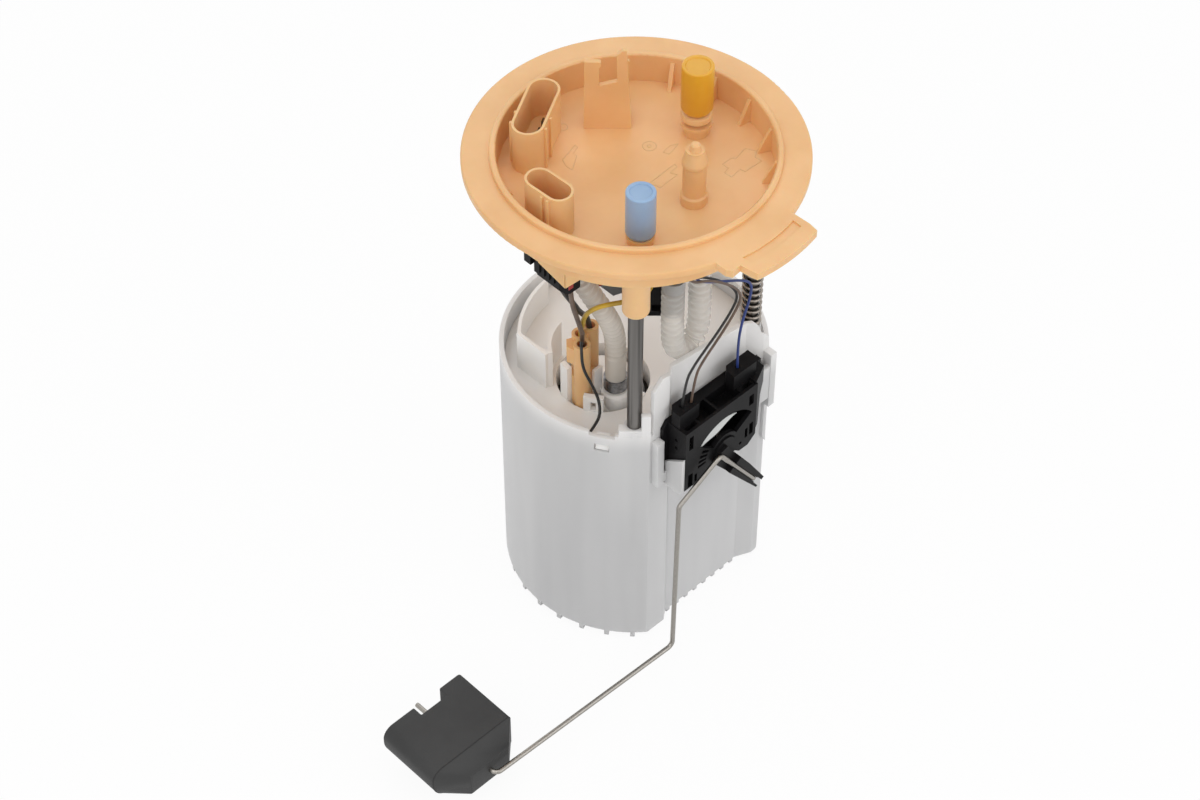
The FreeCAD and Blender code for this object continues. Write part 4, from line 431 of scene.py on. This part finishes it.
def route(name, points, straight=False):
    data = bpy.data.curves.new(name + "Route", "CURVE")
    data.dimensions = "3D"
    data.resolution_u = 24
    spline = data.splines.new("POLY" if straight else "NURBS")
    spline.points.add(len(points) - 1)
    for spot, (x, y, z) in zip(spline.points, points):
        spot.co = (x * mm, y * mm, z * mm, 1)
    if not straight:
        spline.order_u = 3
        spline.use_endpoint_u = True
    return newObject(name + "Route", data)


tube = tubeTree()


def stretchy(piece):  # its placing baked into its points; it is left with no body
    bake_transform(piece)


# corrugated hoses, mm: "smooth" is the plain length at each end
feedHose = {"radius": 4.85, "ripple": 0.72, "pitch": 3.6, "smooth": (6, 21), "points": [
    (-44, -6, -24.6), (-44, -6.5, -34), (-39, -11.5, -50), (-32, -15.8, -67), (-25, -13, -84),
    (-23, -11.7, -98), (-23, -11.7, -121.5)]}
drainHose = {"radius": 5.2, "ripple": 0.75, "pitch": 3.6, "smooth": (6, 6), "points": [
    (-13.4, -36.9, -41), (-13.6, -36.9, -62), (-12.6, -37, -88.9), (3.4, -36.9, -88.9),
    (4.2, -36.4, -60), (5.3, -33.5, -40), (5.5, -33, -18)]}
hoseMesh = {"Step": 0.00028, "Sides": 32}


def growHose(name, node, hose, material):
    smoothStart, smoothEnd = hose["smooth"]
    piece = grow(name + "Tube", route(name, hose["points"]), tube, {
        "Radius": hose["radius"] * mm, "Ripple": hose["ripple"] * mm, "Pitch": hose["pitch"] * mm,
        "Smooth Start": smoothStart * mm, "Smooth End": smoothEnd * mm, **hoseMesh}, material)
    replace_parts(piece, node)
    return piece


stretchy(growHose("feedHose", "feed_hose", feedHose, milkyHose))
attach(growHose("drainHose", "drain_hose", drainHose, clearHose), "flange_unit")
print("hoses made")

# leads: radius in mm, finish, record slot, how it moves, route
leads = {
    "pump_lead_brown": (1.1, brownInsulation, "lead_brown", "stretch", [
        (-53.5, -15.2, -35.8), (-53.4, -15.7, -44), (-47.4, -13, -60), (-41.7, -9.2, -74),
        (-35.5, -3.3, -84), (-35.6, -3.1, -98)]),
    "pump_lead_yellow": (1.1, yellowInsulation, "lead_yellow", "stretch", [
        (-15.8, -26.6, -44), (-23, -34.5, -43), (-35, -33, -42.5), (-43, -24, -46),
        (-45, -17.5, -53), (-43.5, -12.5, -62), (-38.6, -6.6, -76), (-32.9, 0.4, -84),
        (-32.3, 1.6, -98)]),
    "pump_lead_black": (1.3, blackInsulation, "lead_black", "stretch", [
        (-54, -8, -36.2), (-51, -8.5, -44), (-44, -7, -57), (-37, -3.5, -70), (-28.4, 0, -81),
        (-26.8, 0.8, -95)]),
    "pump_lead_red": (0.9, redInsulation, "lead_red", "flange_unit", [
        (-53, -1, -36.1), (-49.5, -1.5, -43), (-43.5, -3, -50), (-36, -5, -54.5), (-28, -8, -55),
        (-21, -13.5, -51), (-15.2, -20.1, -46)]),
    "sender_lead_blue": (0.62, blueInsulation, "lead_blue", "stretch", [
        (11.3, -54, -104), (10.7, -54, -88), (12.5, -54, -74), (18, -54, -60),
        (17.8, -53.4, -52.5), (9, -52.5, -46.5), (-7.5, -51, -37.6), (-15, -50.6, -31),
        (-15.6, -50.6, -24.1)]),
    "sender_lead_black": (0.6, blackInsulation, "lead_black", "stretch", [
        (-23.5, -53.6, -104), (-21.1, -53.2, -88), (-16.4, -53, -82), (-8.6, -53, -76),
        (-1.4, -53.1, -70.6), (7, -53, -63), (10.4, -53, -57), (8.6, -52, -51.5),
        (3, -50.4, -44.5), (-7, -48.8, -36), (-16, -48.4, -31), (-18, -48.4, -24.1)]),
    "sender_lead_brown": (0.6, brownInsulation, "lead_brown", "stretch", [
        (-18.6, -54.4, -104), (-16.6, -54.5, -86.5), (-12, -54.6, -80.3), (-4.6, -54.6, -74.3),
        (2.6, -54.6, -68), (9, -54.6, -61), (11, -54.5, -56), (8, -54, -49.5), (1, -53.7, -42),
        (-8, -52.8, -34.5), (-18.5, -51.8, -30), (-20.5, -51.4, -24.1)]),
    "ground_lead": (0.7, blackInsulation, "lead_black", "housing", [
        (-37.3, -4.5, -98), (-37.3, -4.5, -86.3), (-41.2, -8.6, -84.6), (-43, -11, -95),
        (-40.5, -14.5, -105), (-39.5, -18, -113), (-42, -21.5, -118), (-47, -23.5, -119.4),
        (-53.2, -25.6, -119)]),
}
leadMesh = {"Step": 0.0012, "Sides": 14}
for node, (radius, material, slotName, moves, points) in leads.items():
    piece = grow(node + "_wire", route(node, points), tube, {"Radius": radius * mm, **leadMesh},
                 material)
    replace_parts(piece, node)
    if moves == "stretch":
        stretchy(piece)
    else:
        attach(piece, moves)
print("leads made")


def circle(x, y, radius, count):
    angles = [2 * math.pi * n / count for n in range(count)]
    return [(x + radius * math.cos(a), y + radius * math.sin(a)) for a in angles]


# faint raised lines of the mould on the well floor, mm: closed outlines, and rings as x, y, radius
floorMarks = {"z": -13.02, "line": 0.16, "ringSides": 28, "outlines": {
    "insertNear": [(-1.2, -8.7), (16.1, -7.5), (15.4, -9.4), (10.5, -10.1), (12.0, -13.1),
                   (0.8, -13.8), (0.6, -11.4)],
    "insertRight": [(30.6, -21.9), (36.7, -22.0), (36.9, -23.6), (44.8, -21.6), (47.2, -26.3),
                    (43.7, -28.7), (44.3, -32.2), (34.2, -31.9), (33.8, -29.3), (27.6, -30.3),
                    (27.4, -26.1), (30.5, -25.5)],
    "insertLeft": [(-16.9, 28.0), (-6.4, 31.0), (-6.8, 29.2), (-10.8, 27.6), (-10.7, 25.7),
                   (-18.3, 20.3), (-18.7, 23.5)],
    "pointer": [(17.6, 1.3), (22.8, 2.2), (26.1, 0.5), (22.4, -0.7), (18.6, -1.5)]},
    "rings": {"pinRing": (16.1, 8.1, 3.0), "pinDot": (16.1, 8.1, 0.9),
              "gateRing": (-2.5, 43.0, 2.2)}}
markMesh = {"Step": 0.0004, "Sides": 6}


def markLine(name, outline):
    points = [(x, y, floorMarks["z"]) for x, y in outline + outline[:1]]
    piece = grow(name, route(name, points, straight=True), tube,
                 {"Radius": floorMarks["line"] * mm, **markMesh}, orangePlastic)
    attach(piece, "flange_unit")


for name, outline in floorMarks["outlines"].items():
    markLine(name, outline)
for name, (x, y, radius) in floorMarks["rings"].items():
    markLine(name, circle(x, y, radius, floorMarks["ringSides"]))
print("floor marks made")


def springTree():  # a coil with closed ends, standing on its low end
    tree, source, result = newShapeTree("coilSpring", {
        "Mean Radius": 0.0043, "Wire Radius": 0.0006, "Long": 0.08, "Turns": 24.0,
        "Low End": Vector((0, 0, 0))})
    link = tree.links.new
    spiral = addNode(tree, "GeometryNodeCurveSpiral", {"Resolution": 28, "Height": 1.0})
    link(source.outputs["Turns"], spiral.inputs["Rotations"])
    link(source.outputs["Mean Radius"], spiral.inputs["Start Radius"])
    link(source.outputs["Mean Radius"], spiral.inputs["End Radius"])
    # the end turns lie nearly flat: they have a small rise, and the turns between take the rest
    endRise = 0.012
    split = addNode(tree, "ShaderNodeSeparateXYZ")
    spot = addNode(tree, "GeometryNodeInputPosition")
    ease = addNode(tree, "ShaderNodeMapRange", {
        "From Min": 0.045, "From Max": 0.955, "To Min": 0.014, "To Max": 0.986})
    link(spot.outputs["Position"], split.inputs["Vector"])
    link(split.outputs["Z"], ease.inputs["Value"])
    total = maths(tree, "ADD", ease.outputs["Result"],
                  maths(tree, "MULTIPLY", split.outputs["Z"], endRise))
    join = addNode(tree, "ShaderNodeCombineXYZ")
    link(split.outputs["X"], join.inputs["X"])
    link(split.outputs["Y"], join.inputs["Y"])
    link(maths(tree, "MULTIPLY", total, source.outputs["Long"]), join.inputs["Z"])
    shift = addNode(tree, "ShaderNodeVectorMath", operation="ADD")
    link(join.outputs["Vector"], shift.inputs[0])
    link(source.outputs["Low End"], shift.inputs[1])
    place = addNode(tree, "GeometryNodeSetPosition")
    link(spiral.outputs["Curve"], place.inputs["Geometry"])
    link(shift.outputs["Vector"], place.inputs["Position"])
    ring = addNode(tree, "GeometryNodeCurvePrimitiveCircle", {"Resolution": 10})
    link(source.outputs["Wire Radius"], ring.inputs["Radius"])
    solid = sweepRing(tree, place.outputs["Geometry"], ring.outputs["Curve"])[1]
    closeTree(tree, source, solid, result)
    return tree


# return spring: radii in mm, and the share of its height that the wire's line takes
coil = {"mean": 4.25, "wire": 0.68, "turns": 23.5, "share": 0.97}
springLow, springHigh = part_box("return_spring")
springLong = springHigh.z - springLow.z
axisX, axisY = (springLow.x + springHigh.x) / 2, (springLow.y + springHigh.y) / 2
seed = newObject("springSeed", bpy.data.meshes.new("springSeed"))
piece = grow("returnSpringCoil", seed, springTree(), {
    "Mean Radius": coil["mean"] * mm, "Wire Radius": coil["wire"] * mm,
    "Long": (springLong - 2 * coil["wire"] * mm) * coil["share"], "Turns": coil["turns"],
    "Low End": (axisX, axisY, springLow.z + coil["wire"] * mm)}, springSteel)
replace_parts(piece, "return_spring")
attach(piece, "flange_unit")
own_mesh(piece)
print("spring made")

# mesh pieces: distance in m within which points are merged, and angle that stays a sharp edge
meshRule = {"merge": 0.000001, "sharpAngle": 32}


def merged(mesh, lift=0.0, side=1):  # doubles merged, points on one side of z 0 lifted
    work = bmesh.new()
    work.from_mesh(mesh)
    bmesh.ops.remove_doubles(work, verts=work.verts, dist=meshRule["merge"])
    for vert in work.verts:
        if vert.co.z * side > 0:
            vert.co.z += lift * mm
    bmesh.ops.recalc_face_normals(work, faces=work.faces)
    work.to_mesh(mesh)
    work.free()


def smoothed(mesh):
    mesh.shade_smooth()
    mesh.set_sharp_from_angle(angle=math.radians(meshRule["sharpAngle"]))


def settled(piece):  # modifiers applied, curved faces smooth
    bpy.context.view_layer.update()
    solid = piece.evaluated_get(bpy.context.evaluated_depsgraph_get())
    mesh = bpy.data.meshes.new_from_object(solid)
    piece.modifiers.clear()
    piece.data = mesh
    smoothed(mesh)


def dressedPiece(name, mesh, material, body):
    piece = newObject(name, mesh)
    dress(piece, material)
    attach(piece, body)
    return piece


def meshPiece(name, points, faces, material, body):  # points in mm
    mesh = bpy.data.meshes.new(name)
    mesh.from_pydata([(x * mm, y * mm, z * mm) for x, y, z in points], [], faces)
    merged(mesh)
    return dressedPiece(name, mesh, material, body)


def ringFaces(first, second, count):  # faces between two closed rings, by their first points
    return [(first + n, first + (n + 1) % count, second + (n + 1) % count, second + n)
            for n in range(count)]


def arcPoints(x, z, radius, start, end, count):
    angles = [math.radians(start + (end - start) * n / (count - 1)) for n in range(count)]
    return [(x + radius * math.cos(a), z + radius * math.sin(a)) for a in angles]


# float, mm: a rounded block with a tapered end and a notch at the back
floatShape = {"left": -177.3, "right": -129.9, "top": -229.1, "low": -250.4, "back": -19.5,
              "seam": -53.4, "end": -62.5, "edge": 0.7, "edgeAngle": 28, "edgeSteps": 3,
              "endLeft": -162.0, "endRight": -139.2, "endTop": -235.6, "endLow": -249.4,
              "topRound": (6.0, 9), "tightRound": (1.8, 5), "lowRound": (13.0, 13)}
notch = {"left": -158.35, "right": -142.85, "end": -24.8, "deep": 20, "high": 40}
left, right, top, low = (floatShape[side] for side in ("left", "right", "top", "low"))
endLeft, endRight, endTop, endLow = (floatShape[side] for side in (
    "endLeft", "endRight", "endTop", "endLow"))
roundings = [(left, top, "topRound", 180, 90), (right, top, "tightRound", 90, 0),
             (right, low, "tightRound", 0, -90), (left, low, "lowRound", 270, 180)]
section, owner = [], []  # outline of the block, and the end corner that each point leads to
for corner, (x, z, rounding, start, end) in enumerate(roundings):
    radius, steps = floatShape[rounding]
    x += radius if x == left else -radius
    z += radius if z == low else -radius
    section += arcPoints(x, z, radius, start, end, steps)
    owner += [corner] * steps
count = len(section)
points = [(x, floatShape["back"], z) for x, z in section]
points += [(x, floatShape["seam"], z) for x, z in section]
points += [(x, floatShape["end"], z) for x, z in (
    (endLeft, endTop), (endRight, endTop), (endRight, endLow), (endLeft, endLow))]
faces = [tuple(range(count))] + ringFaces(0, count, count)
for n in range(count):
    after = (n + 1) % count
    a, b = 2 * count + owner[n], 2 * count + owner[after]
    faces.append((count + n, count + after, b) if a == b else (count + n, count + after, b, a))
faces.append(tuple(range(2 * count, 2 * count + 4)))
floatShell = meshPiece("floatShell", points, faces, floatFoam, "float_body")
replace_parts(floatShell, "float")

cutter = newObject("notchCutter", bpy.data.meshes.new("notchCutter"))
work = bmesh.new()
bmesh.ops.create_cube(work, size=1.0, matrix=Matrix.LocRotScale(
    Vector(((notch["left"] + notch["right"]) / 2, notch["end"] + notch["deep"] / 2,
            (top + low) / 2)) * mm, None,
    Vector((notch["right"] - notch["left"], notch["deep"], notch["high"])) * mm))
work.to_mesh(cutter.data)
work.free()
cut = floatShell.modifiers.new("notch", "BOOLEAN")
cut.operation = "DIFFERENCE"
cut.solver = "EXACT"
cut.object = cutter
soften = floatShell.modifiers.new("soften", "BEVEL")
soften.width = floatShape["edge"] * mm
soften.segments = floatShape["edgeSteps"]
soften.limit_method = "ANGLE"
soften.angle_limit = math.radians(floatShape["edgeAngle"])
settled(floatShell)
bpy.data.objects.remove(cutter)

# parting line around the float, mm: a dark strip that paints the shade of the seam's groove
seamShadeStrip = {"proud": 0.07, "wide": 0.36, "deep": 1.5}
midX, midZ = (left + right) / 2, (top + low) / 2
halfX, halfZ = (right - left) / 2, (top - low) / 2
loops = []
for y in (floatShape["seam"] - seamShadeStrip["wide"] / 2, floatShape["seam"] + seamShadeStrip["wide"] / 2):
    for grown in (seamShadeStrip["proud"], -seamShadeStrip["deep"]):
        growX, growZ = 1 + grown / halfX, 1 + grown / halfZ
        loops += [(midX + (x - midX) * growX, y, midZ + (z - midZ) * growZ) for x, z in section]
faces = []
for first, second in ((0, 1), (1, 3), (3, 2), (2, 0)):
    faces += ringFaces(first * count, second * count, count)
meshPiece("floatSeam", loops, faces, rubberBlack, "float_body")
print("float made")

# end of the arm wire that stands out behind the float, mm, with a rounded tip
wireTail = {"x": -150.6, "z": -241.5, "from": -20.5, "to": -11.8, "radius": 1.2, "sides": 20}
tip, radius, sides = wireTail["to"], wireTail["radius"], wireTail["sides"]
rings = [(wireTail["from"], radius), (tip - 0.5 * radius, radius),
         (tip - 0.15 * radius, 0.85 * radius), (tip, 0.5 * radius)]
points, faces = [], [tuple(range(sides)), tuple(range(3 * sides, 4 * sides))]
for level, (y, ringRadius) in enumerate(rings):
    points += [(x, y, z) for x, z in circle(wireTail["x"], wireTail["z"], ringRadius, sides)]
    if level > 0:
        faces += ringFaces((level - 1) * sides, level * sides, sides)
piece = meshPiece("armWireTail", points, faces, wireSteel, "float_arm")
smoothed(piece.data)

# bright band of the card in the sender's window, and contact fingers, mm and degrees
rotorPin = (-3.5, -138.0)
cardBand = {"inner": 12.6, "outer": 18.4, "front": -60.6, "thick": 0.4, "turns": (62, 150)}
fingers = {"inner": 8.4, "outer": 12.2, "front": -59.5, "thick": 0.3,
           "turns": {"fingerUpper": (98, 110), "fingerLower": (146, 154)}}
crescentTip = 0.03  # share of the width that is left at the tips


def arcBand(name, band, turns, material, body, count=15, pointed=False):
    rim = arcPoints(*rotorPin, band["outer"], *turns, count)
    core = arcPoints(*rotorPin, band["inner"], *turns, count)
    if pointed:  # a crescent
        share = [max(math.sin(math.pi * n / (count - 1)), crescentTip) for n in range(count)]
        core = [(ox + (ix - ox) * k, oz + (iz - oz) * k)
                for (ox, oz), (ix, iz), k in zip(rim, core, share)]
    points = []
    for y in (band["front"], band["front"] + band["thick"]):
        points += [(x, y, z) for x, z in rim + core]
    faces = []
    for n in range(count - 1):
        outFront, inFront, outBack, inBack = n, count + n, 2 * count + n, 3 * count + n
        faces += [(outFront, outFront + 1, inFront + 1, inFront),
                  (outBack, inBack, inBack + 1, outBack + 1),
                  (outFront, outBack, outBack + 1, outFront + 1),
                  (inFront, inFront + 1, inBack + 1, inBack)]
    for n in (0, count - 1):
        faces.append((n, count + n, 3 * count + n, 2 * count + n))
    return meshPiece(name, points, faces, material, body)


arcBand("cardBand", cardBand, cardBand["turns"], cardGreen, "housing",
        pointed=True)
for name, turns in fingers["turns"].items():
    arcBand(name, fingers, turns, contactTin, "float_arm", count=5)


def dotTree():  # small domes on the points of a mesh
    tree, source, result = newShapeTree("domesOnPoints", {"Radius": 0.0005})
    dome = addNode(tree, "GeometryNodeMeshUVSphere", {"Segments": 12, "Rings": 8})
    spread = addNode(tree, "GeometryNodeInstanceOnPoints")
    tree.links.new(source.outputs["Radius"], dome.inputs["Radius"])
    tree.links.new(source.outputs["Geometry"], spread.inputs["Points"])
    tree.links.new(dome.outputs["Mesh"], spread.inputs["Instance"])
    closeTree(tree, source, spread.outputs["Instances"], result)
    return tree


# row of dots in the sender's trough, mm
dots = {"first": (-3.6, -52.75, -115.95), "apart": (2.18, 0.12), "count": 5, "radius": 0.55}
x, y, z = dots["first"]
apartX, apartY = dots["apart"]
seed = newObject("dotSeed", bpy.data.meshes.new("dotSeed"))
seed.data.from_pydata([((x + apartX * n) * mm, (y + apartY * n) * mm, z * mm)
                       for n in range(dots["count"])], [], [])
piece = grow("senderDots", seed, dotTree(), {"Radius": dots["radius"] * mm}, blackPlastic)
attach(piece, "housing")


def reshaped(name, source, material, body, lift, side):
    # a merged copy of a CAD node, lifted by so many mm above (side 1) or below (side -1) z 0
    model = bpy.data.objects[source]
    mesh = model.data.copy()
    mesh.transform(model.matrix_world)
    if "custom_normal" in mesh.attributes:
        mesh.attributes.remove(mesh.attributes["custom_normal"])
    merged(mesh, lift, side)
    smoothed(mesh)
    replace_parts(dressedPiece(name, mesh, material, body), source)


reshaped("largeBlades", "large_socket_blades", bladeTinShaded, "flange_unit", -10.0, 1)
reshaped("smallBlades", "small_socket_blades", bladeTinShaded, "flange_unit", -11.0, 1)
reshaped("yellowCapShort", "yellow_cap", yellowPlastic, "vent_cap", 7.0, -1)

# collar under the yellow cap, mm: outline as radius and z, turned round its axis
ventCollar = {"x": 37.5, "y": 0.9, "sides": 64, "outline": [
    (4.6, -5.0), (5.9, -5.0), (6.9, -4.2), (7.0, -2.2), (6.6, -1.4), (5.6, -0.9), (4.6, -0.9)]}
sides, outline = ventCollar["sides"], ventCollar["outline"]
points, faces = [], []
for level, (radius, z) in enumerate(outline):
    points += [(x, y, z) for x, y in circle(ventCollar["x"], ventCollar["y"], radius, sides)]
    faces += ringFaces(level * sides, (level + 1) % len(outline) * sides, sides)
piece = meshPiece("ventCollar", points, faces, orangePlastic, "flange_unit")
smoothed(piece.data)

# red mark on the harness plug, mm
plugMark = {"x": (-57.2, -54.6), "y": (-18.12, -17.9), "z": (-31.4, -29.2)}
points = [(x, y, z) for z in plugMark["z"] for y in plugMark["y"] for x in plugMark["x"]]
faces = [(0, 1, 3, 2), (4, 6, 7, 5), (0, 4, 5, 1), (2, 3, 7, 6), (0, 2, 6, 4), (1, 5, 7, 3)]
meshPiece("plugMark", points, faces, redInsulation, "flange_unit")
print("small pieces made")

# floor, lamps and world
studio = {"floorZ": cadBox[0][2] - 0.0002, "floorHalf": 3.0, "floorTone": 0.9, "floorRough": 0.9,
          "floorGlow": 0.93, "world": 0.6}
lamps = {
    "topLamp": {"place": (-0.2, -0.1, 1.6), "aim": (0, 0, -0.1), "size": 1.6, "power": 6.6},
    "keyLamp": {"place": (-1.3, -0.5, 0.8), "aim": (0, 0, -0.1), "size": 1.4, "power": 5.8},
    "fillLamp": {"place": (0.5, -1.5, 0.5), "aim": (0, 0, -0.12), "size": 1.4, "power": 6.8},
    "rimLamp": {"place": (0.9, 1.2, 1.1), "aim": (0, 0, -0.1), "size": 1.0, "power": 3.0}}


def backgroundRays(tree):  # 1 where the camera, metal or glass looks, 0 for light on the object
    path = addNode(tree, "ShaderNodeLightPath")
    seen = path.outputs["Is Camera Ray"]
    for ray in ("Is Glossy Ray", "Is Transmission Ray"):
        seen = maths(tree, "MAXIMUM", seen, path.outputs[ray])
    return seen


half, z = studio["floorHalf"], studio["floorZ"]
floorMesh = bpy.data.meshes.new("floor")
floorMesh.from_pydata([(-half, -half, z), (half, -half, z), (half, half, z), (-half, half, z)],
                      [], [(0, 1, 2, 3)])
floor = newObject("floor", floorMesh)
paleFloor = bpy.data.materials.new("paleFloor")
paleFloor.use_nodes = True
floorTree = paleFloor.node_tree
shader = floorTree.nodes["Principled BSDF"]
shader.inputs["Base Color"].default_value = (*[studio["floorTone"]] * 3, 1)
shader.inputs["Roughness"].default_value = studio["floorRough"]
glow = addNode(floorTree, "ShaderNodeEmission", {"Strength": 1.0})
mix = addNode(floorTree, "ShaderNodeMixShader")
floorTree.links.new(maths(floorTree, "MULTIPLY", backgroundRays(floorTree), studio["floorGlow"]),
                    mix.inputs["Fac"])
floorTree.links.new(shader.outputs["BSDF"], mix.inputs[1])
floorTree.links.new(glow.outputs["Emission"], mix.inputs[2])
floorTree.links.new(mix.outputs["Shader"], floorTree.nodes["Material Output"].inputs["Surface"])
floorMesh.materials.append(paleFloor)

for name, lamp in lamps.items():
    data = bpy.data.lights.new(name, "AREA")
    data.size = lamp["size"]
    data.energy = lamp["power"]
    light = newObject(name, data)
    light.location = lamp["place"]
    sight = Vector(lamp["aim"]) - Vector(lamp["place"])
    light.rotation_euler = sight.to_track_quat("-Z", "Y").to_euler()

world = bpy.data.worlds.new("studioWorld")
world.use_nodes = True
worldTree = world.node_tree
backdrop = worldTree.nodes["Background"]
backdrop.inputs["Color"].default_value = (1, 1, 1, 1)
level = addNode(worldTree, "ShaderNodeMapRange", {"To Min": studio["world"], "To Max": 1.0})
worldTree.links.new(backgroundRays(worldTree), level.inputs["Value"])
worldTree.links.new(level.outputs["Result"], backdrop.inputs["Strength"])
bpy.context.scene.world = world
print("studio set")

bpy.context.view_layer.update()
